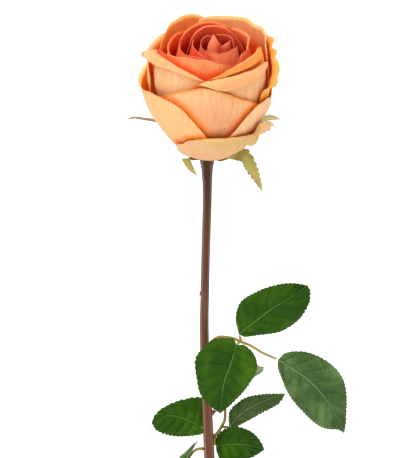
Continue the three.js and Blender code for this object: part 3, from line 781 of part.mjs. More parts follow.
function tubeGeometry(rows, sides, step) {
  const knots = [0];
  for (let i = 1; i < rows.length; i++) {
    knots.push(knots[i - 1] + Math.hypot(rows[i][0] - rows[i - 1][0], rows[i][1] - rows[i - 1][1], rows[i][2] - rows[i - 1][2]));
  }
  const xs = [];
  for (let i = 0; i < rows.length - 1; i++) {
    const n = Math.max(1, Math.round((knots[i + 1] - knots[i]) / step));
    for (let j = 0; j < n; j++) xs.push(knots[i] + (knots[i + 1] - knots[i]) * j / n);
  }
  xs.push(knots[knots.length - 1]);
  const f = xs.map((x) => hermite(rows, knots, x));
  const c = f.map((r) => new THREE.Vector3(r[0], r[1], r[2]));
  const pts = [], faces = [];
  let side = new THREE.Vector3(1, 0, 0);
  c.forEach((p, i) => {
    const along = c[Math.min(i + 1, c.length - 1)].clone().sub(c[Math.max(i - 1, 0)]).normalize();
    side = side.clone().addScaledVector(along, -side.dot(along)).normalize();
    const other = along.clone().cross(side);
    for (let k = 0; k < sides; k++) {
      const a = 2 * Math.PI * k / sides;
      pts.push(p.clone().addScaledVector(side, f[i][3] * Math.cos(a)).addScaledVector(other, f[i][3] * Math.sin(a)));
    }
  });
  const n = c.length;
  for (let i = 0; i < n - 1; i++) for (let k = 0; k < sides; k++) {
    const a = i * sides + k, b = i * sides + (k + 1) % sides, d = a + sides, e = b + sides;
    faces.push([a, b, e], [a, e, d]);
  }
  pts.push(c[0], c[n - 1]);
  for (let k = 0; k < sides; k++) {
    faces.push([n * sides, (k + 1) % sides, k]);
    faces.push([n * sides + 1, (n - 1) * sides + k, (n - 1) * sides + (k + 1) % sides]);
  }
  return geometryFrom(pts, faces);
}

const wasm = await Module();
wasm.setup();

function toSolid(geometry) {
  const g = geometry.clone();
  for (const name of Object.keys(g.attributes)) if (name !== 'position') g.deleteAttribute(name);
  const m = mergeVertices(g, 1e-4);
  return new wasm.Manifold(new wasm.Mesh({
    numProp: 3,
    vertProperties: new Float32Array(m.attributes.position.array),
    triVerts: new Uint32Array(m.index.array),
  }));
}

function fromSolid(solid) {
  const m = solid.getMesh(), g = new THREE.BufferGeometry();
  const positions = new Float32Array(m.numVert * 3);
  for (let i = 0; i < m.numVert; i++) for (let k = 0; k < 3; k++) positions[i * 3 + k] = m.vertProperties[i * m.numProp + k];
  g.setAttribute('position', new THREE.BufferAttribute(positions, 3));
  g.setIndex(new THREE.BufferAttribute(new Uint32Array(m.triVerts), 1));
  g.computeVertexNormals();
  return g;
}

function thornSolid([x, y, z, dx, dy, dz, r]) {
  const tip = new THREE.Vector3(dx, dy, dz), length = tip.length();
  const g = new THREE.ConeGeometry(r, length, 8, 1);
  g.translate(0, length / 2, 0);
  g.applyQuaternion(new THREE.Quaternion().setFromUnitVectors(new THREE.Vector3(0, 1, 0), tip.normalize()));
  g.translate(x, y, z);
  return toSolid(g);
}

// ------------------------------------------------------------------ assembly
const rose = new THREE.Group();

function add(parent, name, geometry, colour, roughness) {
  const mesh = new THREE.Mesh(geometry, new THREE.MeshStandardMaterial({ color: colour, roughness, metalness: 0 }));
  mesh.name = name;
  parent.add(mesh);
  return mesh;
}

// vase
const vaseGeometry = new THREE.LatheGeometry(VASE_OUTLINE.map(([r, z]) => new THREE.Vector2(r, z)), 32);
vaseGeometry.rotateX(Math.PI / 2);
add(rose, 'vase', fromSolid(toSolid(vaseGeometry)), 0xf4f2ee, 0.22);

// stem with its thorns
let stem = toSolid(tubeGeometry(STEM, 12, 24));
for (const thorn of THORNS) stem = stem.add(thornSolid(thorn));
add(rose, 'stem', fromSolid(stem), 0x5b4030, 0.6);

// hidden core that the petals are fixed round
const core = new THREE.CylinderGeometry(CORE_RADIUS * 0.6, CORE_RADIUS, CORE_TOP + 1.9, 12, 1);
core.rotateX(Math.PI / 2);
core.translate(0, 0, (CORE_TOP - 1.9) / 2);
core.applyMatrix4(new THREE.Matrix4().makeBasis(HEAD_RIGHT, HEAD_FRONT.clone().negate(), HEAD_UP).setPosition(HEAD_BASE));
add(rose, 'flower_core', core, 0x8a9a4a, 0.7);

const flower = new THREE.Group();
rose.add(flower);
for (const [name, spec] of Object.entries(PETALS)) add(flower, 'petal_' + name, petalGeometry(spec), spec.colour, 0.62);

const calyx = new THREE.Group();
rose.add(calyx);
for (const [name, spec] of Object.entries(SEPALS)) add(calyx, name, bladeGeometry(spec, SEPAL_THICKNESS), 0x98a04e, 0.6);

const foliage = new THREE.Group();
rose.add(foliage);
for (const [name, [main, ...branches]] of Object.entries(STALKS)) {
  let stalk = toSolid(tubeGeometry(main, 8, 12));
  for (const branch of branches) stalk = stalk.add(toSolid(tubeGeometry(branch, 6, 12)));
  add(foliage, name, fromSolid(stalk), 0x6d6a2c, 0.55);
}
for (const [name, spec] of Object.entries(LEAFLETS)) {
  add(foliage, name, bladeGeometry(spec, LEAF_THICKNESS), name.includes('right') ? 0x5f8a2c : 0x2f6420, 0.5);
}

export default rose;
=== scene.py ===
# A single peach rose with its stem, leaves and sepals, standing in a plain bud vase.
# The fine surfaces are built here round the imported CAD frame. Millimetres inside the
# tables and mesh helpers, metres in Blender.
import bpy
import math
import numpy as np
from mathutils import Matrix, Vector
from mathutils.kdtree import KDTree


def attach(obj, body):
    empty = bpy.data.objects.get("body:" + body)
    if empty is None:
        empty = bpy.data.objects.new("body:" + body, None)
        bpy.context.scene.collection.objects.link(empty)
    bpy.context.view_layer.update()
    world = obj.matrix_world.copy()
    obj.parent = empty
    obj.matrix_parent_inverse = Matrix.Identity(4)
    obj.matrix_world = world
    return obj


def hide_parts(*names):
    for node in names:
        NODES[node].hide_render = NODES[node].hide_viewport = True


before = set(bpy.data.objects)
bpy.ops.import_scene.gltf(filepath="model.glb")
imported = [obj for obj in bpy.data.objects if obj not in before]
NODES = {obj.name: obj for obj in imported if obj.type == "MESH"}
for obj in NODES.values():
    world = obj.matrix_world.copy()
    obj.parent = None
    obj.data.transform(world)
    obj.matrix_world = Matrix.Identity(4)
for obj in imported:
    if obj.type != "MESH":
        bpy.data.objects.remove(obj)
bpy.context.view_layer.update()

# ------------------------------------------------------------------ tables
O = np.array([-7.99438, 0.00000, 389.07383])
A = np.array([0.03490, -0.30883, 0.95048])
F = np.array([-0.02264, -0.95106, -0.30819])
R = np.array([0.99913, -0.01077, -0.04018])
PROF = np.array([(0, 3.5), (1, 8), (3, 13.8), (6, 18.8), (10, 23.0), (15, 26.8), (20, 30.2), (27, 34.2), (35, 37.3),
                 (43, 39), (52, 38.8), (60, 37.8), (70, 35.8), (80, 33.2), (95, 29)], float)
BASE_R = 3.6
# d depth of the cup, cf share of the lip over which it turns, c shift of the upper part (right, front), w narrowing of the sides, h0/hC blend heights,
# rows: angle, height, radius offset, lip length, lip turn
PETALS = {
    "guard_front": dict(d=0, cf=0.55, c=(0, 0), w=(0.8, 0.8), h0=8.52, hC=34, rows=[
        (-49, 7, -0.55, 0, 0), (-43, 13, -0.55, 0.6, 15), (-36, 19.5, -0.55, 0.8, 20), (-25.79, 21.92, -0.55, 1, 30),
        (-17.57, 26.34, -1.05, 1.4, 40), (-9.95, 29.09, -0.67, 2.5, 70), (-4.09, 30.39, -0.33, 5.5, 125), (2.36, 31.25, -0.15, 9.5, 160),
        (9.58, 31.57, 0.03, 13, 168), (17.95, 31.3, 0.14, 13.5, 168), (26.8, 30.78, 0.35, 12, 165), (36.48, 30.04, 0.67, 10, 160),
        (47.32, 29.25, 1.24, 8, 150), (50, 36.02, 1.03, 5.2, 130), (57, 35.27, 1.66, 4.4, 110), (64, 33.72, 1.94, 4.2, 90),
        (72, 24, 4.57, 2.5, 55), (78, 13, 4.57, 1, 20),
    ]),
    "guard_back": dict(d=0, cf=1, c=(0, 0), w=(0.8, 0.8), h0=11.77, hC=47, rows=[
        (112, 12, 0, 0, 0), (118, 26, 0, 2, 40), (130, 38, 0, 5, 90), (150, 45, 0, 8, 130),
        (175, 47, 0, 9, 140), (200, 45, 0, 8, 130), (218, 38, 0, 5, 100), (230, 26, 0, 2, 50),
        (236, 14, 0, 0, 0),
    ]),
    "guard_left": dict(d=1.4, cf=1, c=(0, 0), w=(0.8, 0.9), h0=15.57, hC=58, rows=[
        (-168, 15, -0.18, 0, 0), (-160, 35, -0.18, 1, 30), (-142, 48, -0.18, 2, 50), (-122, 45.54, 7.31, 3, 60),
        (-104, 46.68, 2.95, 3.5, 70), (-88, 46.92, 2.95, 3, 60), (-75.6, 47.27, 2.53, 2, 40), (-58.94, 50.82, 1.96, 1.2, 30),
        (-47.03, 51.63, 1.52, 1, 20), (-34.62, 51.24, 1.09, 0.8, 20), (-21.22, 47.31, 0.39, 0.8, 20), (-8.53, 38.24, 0.92, 0.6, 20),
        (-1.37, 31.68, 3.65, 0.5, 20), (4, 22, 3.65, 0, 0), (6, 11, 3.65, 0, 0),
    ]),
    "guard_right": dict(d=1.4, cf=1, c=(0, 0), w=(0.8, 0.8), h0=14.57, hC=54, rows=[
        (12, 11, 4.32, 0, 0), (15, 20, 4.32, 0, 0), (18, 25, 4.32, 0.4, 20), (21.26, 31.95, 4.32, 0.6, 20),
        (29.67, 38.74, 0.91, 0.6, 20), (38.85, 44.72, -0.03, 0.6, 20), (51.07, 48.08, -0.16, 0.8, 20), (64, 47.64, -0.48, 1, 20),
        (80, 40.4, -1.3, 0.8, 20), (95, 33.81, 1.95, 0.8, 20), (112, 46, -0.33, 1.5, 40), (124, 40, -0.33, 1, 40),
        (134, 28, -0.33, 0, 0), (139, 14, -0.33, 0, 0),
    ]),
    "outer_front": dict(d=2.8, cf=1, c=(0, 0), w=(0.45, 0.45), h0=18.62, hC=66, mid=0, rows=[
        (-72, 20, -0.27, 0, 0), (-70, 36, -0.27, 0, 0), (-64, 45, -0.27, 0.5, 20), (-52.18, 49.16, -0.27, 1, 30),
        (-34.63, 55.91, -0.31, 1.2, 40), (-17.96, 60.68, -0.08, 1.5, 40), (-5.05, 63.29, 0.64, 1, 40), (5.09, 62.33, 0.34, 1, 35),
        (15.74, 59.58, -0.54, 1.5, 40), (30.06, 54.76, -1.3, 1.2, 30), (43.8, 50.16, -1.45, 1, 30), (60, 43, -1.45, 0.5, 20),
        (65, 33, -1.45, 0, 0), (66, 18, -1.45, 0, 0),
    ]),
    "outer_left": dict(d=2.8, cf=1, c=(0, 0), w=(0.8, 0.9), h0=18.62, hC=66, rows=[
        (-152, 18, 0.73, 0, 0), (-150, 40, 0.73, 1, 20), (-147, 56, 0.73, 2, 40), (-131.25, 66.28, 0.73, 3, 60),
        (-128, 64.01, 1.46, 4, 70), (-116, 63.07, 1.01, 4.5, 80), (-105, 62.44, 1.21, 4, 80), (-96, 58.5, 0.49, 2.5, 50),
        (-89, 54, -1.05, 1.5, 30), (-83, 45, -3.3, 0.5, 20), (-80, 32, -3.3, 0, 0), (-79, 16, -3.3, 0, 0),
    ]),
    "outer_back_right": dict(d=2.8, cf=1, c=(0, 0), w=(0.9, 0.8), h0=18.62, hC=66, rows=[
        (75, 18, -0.39, 0, 0), (75, 36, -0.39, 0, 0), (76, 44, -0.39, 0.5, 20), (82, 43.72, -0.39, 0.6, 25),
        (94, 42.85, 0.53, 0.8, 30), (108, 50, 0.31, 1.5, 40), (135, 49, 0.29, 2, 60), (155, 47, 0.25, 2, 60),
        (168, 40, 0.25, 1, 40), (176, 28, 0.25, 0, 0), (179, 16, 0.25, 0, 0),
    ]),
    "outer_right": dict(d=4.2, cf=1, c=(0, 0), w=(0.75, 0.8), h0=44, hC=60, rows=[
        (53, 20, 0.22, 0, 0), (54, 38, 0.22, 0, 0), (55, 47, 0.22, 0.5, 20), (59, 53.5, 0.22, 3, 50),
        (66, 56.4, 2.14, 6.5, 85), (75, 58.36, 0.95, 7.5, 95), (83, 61.36, 1.23, 6.5, 92), (91, 64.02, 1.24, 6, 90),
        (99, 66.97, 0.98, 5.5, 88), (107, 69.98, 2.11, 5, 85), (116, 71.55, 2.2, 4, 75), (128, 64, 2.2, 2, 40),
        (137, 48, 2.2, 0.5, 20), (141, 22, 2.2, 0, 0),
    ]),
    "outer_back_left": dict(d=4.2, cf=1, c=(0, 0), w=(0.8, 0.8), h0=19.67, hC=66, rows=[
        (164, 24, 0.74, 0, 0), (166, 48, 0.74, 0, 0), (170, 62, 0.74, 1.5, 30), (188.57, 72.18, 0.74, 2.5, 50),
        (195.58, 73.99, 1.14, 3, 60), (202.8, 74.97, 1.4, 3, 60), (212.04, 74.76, 0.74, 3, 60), (220.89, 73.82, 0.2, 3, 60),
        (230.61, 72.85, -0.52, 2.5, 55), (239, 71.36, -1.82, 2, 40), (248, 56, -1.82, 1, 30), (252, 42, -1.82, 0, 0),
        (254, 24, -1.82, 0, 0),
    ]),
    "mid_back": dict(d=5.8, cf=1, c=(0, 0), w=(0.9, 0.8), h0=54, hC=74, rows=[
        (83, 24, 0.04, 0, 0), (83, 48, 0.04, 0, 0), (84, 60, 0.04, 0.5, 20), (92, 73.53, 0.04, 2, 40),
        (101, 76.65, 0.88, 2.5, 50), (112, 77.24, 1.05, 3, 60), (131.64, 75.18, 1.06, 3, 60), (142.55, 76.71, 1.46, 3.2, 60),
        (155.62, 75.33, 1.1, 3.5, 60), (170.29, 74.21, 0.33, 3.5, 60), (182.79, 73.96, -0.32, 3, 60), (195.12, 72.55, -1.42, 2, 50),
        (197, 58, -1.42, 0.5, 20), (200, 42, -1.42, 0, 0), (201, 26, -1.42, 0, 0),
    ]),
    "mid_front_right": dict(d=7, cf=0.6, c=(0, 0), w=(0.8, 0.5), h0=21.94, hC=66, mid=20, rows=[
        (-22, 24, -0.3, 0, 0), (-21.5, 44, -0.3, 0, 0), (-19, 55, -0.3, 0.5, 20), (-11.28, 62.43, -0.3, 2, 80),
        (-2.71, 65.45, 0.38, 4.6, 140), (6.15, 66.93, 0.67, 8.6, 163), (17.05, 67.98, 0.78, 11.5, 165), (28.49, 68.62, 0.9, 10.5, 162),
        (41.84, 68.99, 0.98, 9.5, 158), (55.32, 69.23, 1.03, 7.5, 140), (69.41, 68.51, 1.08, 4, 90), (75, 61.5, 0.3, 1.5, 50),
        (78, 52, 0.3, 0, 0), (79, 28, 0.3, 0, 0),
    ]),
    "mid_front_left": dict(d=8.4, cf=0.75, c=(0, 0), w=(0.95, 0.8), h0=23.11, hC=66, rows=[
        (-76, 26, 0.33, 0, 0), (-79, 45.74, 2.52, 0.3, 10), (-80, 53.81, 0.76, 1, 20), (-80, 60.12, 0.56, 4.5, 50),
        (-81, 66.11, 2.13, 11.8, 76), (-79, 69.73, -0.82, 12.6, 98), (-68.84, 71.85, 3.09, 12, 128), (-61.32, 71.53, 2.32, 10.5, 148),
        (-53.32, 71.04, 1.62, 8.5, 158), (-43.83, 70.79, 1.07, 6.5, 158), (-32.39, 69.68, 0.45, 5.2, 150), (-21.87, 68.03, -0.18, 4, 140),
        (-11.89, 65.82, -0.95, 2.8, 115), (-4.09, 63.81, -1.41, 1.2, 80), (6, 58, -1.41, 0.5, 20), (9, 46, -1.41, 0, 0),
        (9.5, 28, -1.41, 0, 0),
    ]),
    "inner_right": dict(d=9.8, cf=0.6, c=(0, 0), w=(0.8, 0.8), h0=28, hC=74, rows=[
        (-8, 28, -1.03, 0, 0), (-7, 48, -1.03, 0, 0), (-4, 58, -1.03, 0.5, 20), (-1.99, 64.27, -1.03, 0.8, 50),
        (5.73, 66.83, -0.65, 2.4, 110), (15.59, 69.88, 0.13, 4.2, 140), (25.99, 72.38, 0.53, 5.6, 150), (37.33, 74.09, 0.87, 6.6, 155),
        (49.34, 75.26, 1, 7.4, 152), (62.09, 76.23, 1.1, 6.3, 135), (66.96, 77.78, 1.41, 3, 80), (84, 64, 1.41, 0.5, 20),
        (85, 46, 1.41, 0, 0), (85.5, 28, 1.41, 0, 0),
    ]),
    "inner_front": dict(d=11.2, cf=1, c=(0, 0), w=(0.9, 0.85), h0=28, hC=74, rows=[
        (-68, 30, 3.36, 0, 0), (-71, 50, 3.35, 0, 0), (-74, 60, 2.13, 0.4, 30), (-77, 70.81, 3.32, 1, 50),
        (-62.41, 73.51, 3.39, 1.4, 60), (-51.9, 74.29, 2.55, 1.8, 80), (-42.66, 74.89, 1.77, 2, 90), (-28.63, 76.08, 0.9, 2.2, 90),
        (-16.72, 75.84, -0.34, 2.2, 90), (-4.49, 75.78, -1.06, 2.2, 90), (6.87, 74.32, -1.45, 2, 80), (18.45, 72.57, -1.6, 1.5, 60),
        (27.62, 70.59, -1.82, 0.8, 40), (28, 56, -1.82, 0, 0), (30, 44, -1.82, 0, 0), (31, 28, -1.82, 0, 0),
    ]),
    "inner_left": dict(d=12.5, cf=1, c=(0, 0), w=(0.85, 0.85), h0=28, hC=74, rows=[
        (-143, 30, -3.44, 0, 0), (-142, 56, -3.44, 0, 0), (-135.29, 71.66, -3.44, 1, 40), (-123.61, 71.66, -2.64, 1.5, 60),
        (-112.47, 70.27, -2.14, 2, 80), (-97, 69.12, -2.52, 2.2, 85), (-83, 69.2, -2.6, 2, 80), (-68.68, 69.88, -2.11, 1.5, 60),
        (-55.64, 71.19, -1.33, 1, 50), (-47, 68, -1.33, 0, 0), (-44, 54, -1.33, 0, 0), (-43, 30, -1.33, 0, 0),
    ]),
    "inner_back": dict(d=13.8, cf=1, c=(3.5, 1), w=(0.85, 0.85), h0=28, hC=74, rows=[
        (142, 30, -2.45, 0, 0), (142, 54, -2.45, 0, 0), (160.8, 73.2, -2.45, 1, 40), (174.72, 73.98, -1.79, 1.5, 60),
        (188.72, 75.22, -1.04, 2, 80), (202.63, 75.26, -0.94, 2.2, 80), (216.79, 74.41, -1.31, 2, 80), (230.78, 73.52, -2.28, 1.8, 80),
        (247.92, 73.19, -3.35, 1.4, 70), (250, 70.81, -2.53, 1, 50), (254, 64, -2.53, 0, 0), (255, 50, -2.53, 0, 0),
        (255, 30, -2.53, 0, 0),
    ]),
    "core_left": dict(d=15.1, cf=1, c=(3.5, 1), w=(0.85, 0.85), h0=28, hC=74, rows=[
        (-101, 34, -2.41, 0, 0), (-101, 56, -2.41, 0, 0), (-98, 72.88, -2.41, 0.4, 30), (-92, 72.08, -2.68, 0.7, 50),
        (-77, 71.87, -2.66, 0.9, 50), (-67.57, 70.98, -3.9, 1, 50), (-51.25, 72.49, -3.34, 1, 50), (-37.56, 73.88, -2.85, 1, 50),
        (-26.78, 74.53, -2.72, 0.8, 50), (-5, 70, -2.72, 0, 0), (1, 56, -2.72, 0, 0), (2, 34, -2.72, 0, 0),
    ]),
    "core_right": dict(d=15.1, cf=1, c=(3.5, 1), w=(0.85, 0.85), h0=28, hC=74, rows=[
        (6, 34, -3.29, 0, 0), (8, 52, -3.29, 0, 0), (22.56, 68.5, -3.29, 0.3, 30), (32.11, 71.98, -2.74, 0.6, 40),
        (42.39, 76.96, -1.93, 1, 70), (80, 75.23, -6.44, 1.8, 90), (93, 77.19, -6.21, 2.6, 100), (129.98, 74.13, -4.2, 2.6, 100),
        (144.2, 74.57, -4.11, 2, 90), (157.12, 74.54, -4.72, 0.8, 50), (153, 64, -4.52, 0, 0), (155, 50, -4.62, 0, 0),
        (156, 34, -4.66, 0, 0),
    ]),
    "core_back": dict(d=16.8, cf=1, c=(3.5, 1), w=(0.85, 0.85), h0=28, hC=74, rows=[
        (112, 36, -6.2, 0, 0), (112, 60, -6.2, 0, 0), (148.07, 73.35, -6.2, 0.4, 30), (165.23, 74.93, -4.88, 1, 60),
        (182.14, 75.5, -4.07, 1.6, 70), (199.7, 75.53, -3.76, 1.6, 70), (216.35, 74.57, -4.65, 1.6, 70), (235.32, 73.6, -6.05, 1.2, 60),
        (254, 72.33, -6.82, 0.8, 40), (264, 64, -6.82, 0, 0), (266, 52, -6.82, 0, 0), (266, 36, -6.82, 0, 0),
    ]),
    "heart_left": dict(d=18.2, cf=1, c=(3.5, 1), w=(0.85, 0.85), h0=28, hC=74, rows=[
        (-120, 38, -7.35, 0, 0), (-118, 60, -7.35, 0, 0), (-104, 73.78, -7.35, 0.5, 30), (-80, 74.2, -7.02, 0.6, 50),
        (-52.36, 74.93, -5.55, 0.6, 50), (-40.49, 74.13, -5.27, 0.5, 40), (-30.94, 73.35, -5.07, 0.4, 40), (-10, 66, -5.07, 0, 0),
        (-7, 54, -5.07, 0, 0), (-7, 38, -5.07, 0, 0),
    ]),
    "heart_front": dict(d=19.6, cf=1, c=(3.5, 1), w=(0.85, 0.85), h0=28, hC=74, rows=[
        (-60, 38, -7.54, 0, 0), (-60, 58, -7.54, 0, 0), (-52.93, 72.74, -7.54, 0.3, 20), (-31.1, 74.05, -7.06, 0.5, 30),
        (-9.83, 74.68, -6.78, 0.6, 40), (9.4, 74.39, -6.82, 0.7, 40), (29.55, 74.85, -6.76, 0.7, 40), (45.99, 75.96, -6.6, 0.6, 30),
        (74, 74.18, -8.68, 0.4, 20), (80, 66, -8.68, 0, 0), (83, 54, -8.68, 0, 0), (83, 38, -8.68, 0, 0),
    ]),
    "bud_left": dict(d=21, cf=1, c=(3.5, 1), w=(0.85, 0.85), h0=28, hC=74, rows=[
        (-178, 40, -10.44, 0, 0), (-178, 60, -10.44, 0, 0), (-157.86, 74.06, -10.44, 0.3, 30), (-138.62, 75.14, -9.81, 0.5, 40),
        (-119.69, 74.78, -9.55, 0.6, 40), (-98, 73.64, -9.68, 0.6, 40), (-75, 73.12, -9.8, 0.6, 40), (-50.9, 73.01, -9.39, 0.5, 40),
        (-28.42, 73.48, -9.02, 0.4, 40), (-10.22, 73.27, -9.35, 0.3, 30), (4, 64, -9.35, 0, 0), (6, 54, -9.35, 0, 0),
        (6, 40, -9.35, 0, 0),
    ]),
    "bud_right": dict(d=21, cf=1, c=(3.5, 1), w=(0.85, 0.85), h0=28, hC=74, rows=[
        (12, 40, -9.81, 0, 0), (12, 58, -9.81, 0, 0), (13.38, 72.86, -9.81, 0.2, 20), (42.21, 73.33, -9.34, 0.3, 30),
        (66, 73.3, -9.14, 0.5, 30), (96, 75.41, -10.32, 0.5, 40), (135.58, 75.4, -9.58, 0.5, 40), (161.71, 75.3, -9.79, 0.5, 40),
        (184.97, 75.07, -10.12, 0.4, 40), (172, 68, -9.93, 0, 0), (174, 54, -9.96, 0, 0), (175, 40, -9.98, 0, 0),
    ]),
    "tip_right": dict(d=22.6, cf=1, c=(3.5, 1), w=(0.85, 0.85), h0=28, hC=74, rows=[
        (14, 42, -10.21, 0, 0), (15, 58, -10.21, 0, 0), (17.37, 75.31, -10.21, 0, 0), (40.87, 77.13, -10.18, 0.2, 20),
        (89.51, 76.55, -10.45, 0.2, 20), (96, 70, -10.45, 0, 0), (104, 66, -10.45, 0, 0), (110, 56, -10.45, 0, 0),
        (111, 42, -10.45, 0, 0),
    ]),
    "tip_centre": dict(d=24.4, cf=1, c=(3.5, 1), w=(0.85, 0.85), h0=28, hC=74, rows=[
        (-130, 44, -11.43, 0, 0), (-128, 62, -11.43, 0, 0), (-116, 69, -11.43, 0, 0), (-90, 73, -11.43, 0.2, 20),
        (-55.73, 78.03, -11.43, 0.2, 20), (-31.77, 81.64, -10.82, 0.2, 20), (-8.41, 79.23, -11.28, 0.2, 20), (44, 73, -11.28, 0, 0),
        (66, 69, -11.28, 0, 0), (76, 60, -11.28, 0, 0), (77, 44, -11.28, 0, 0),
    ]),
}
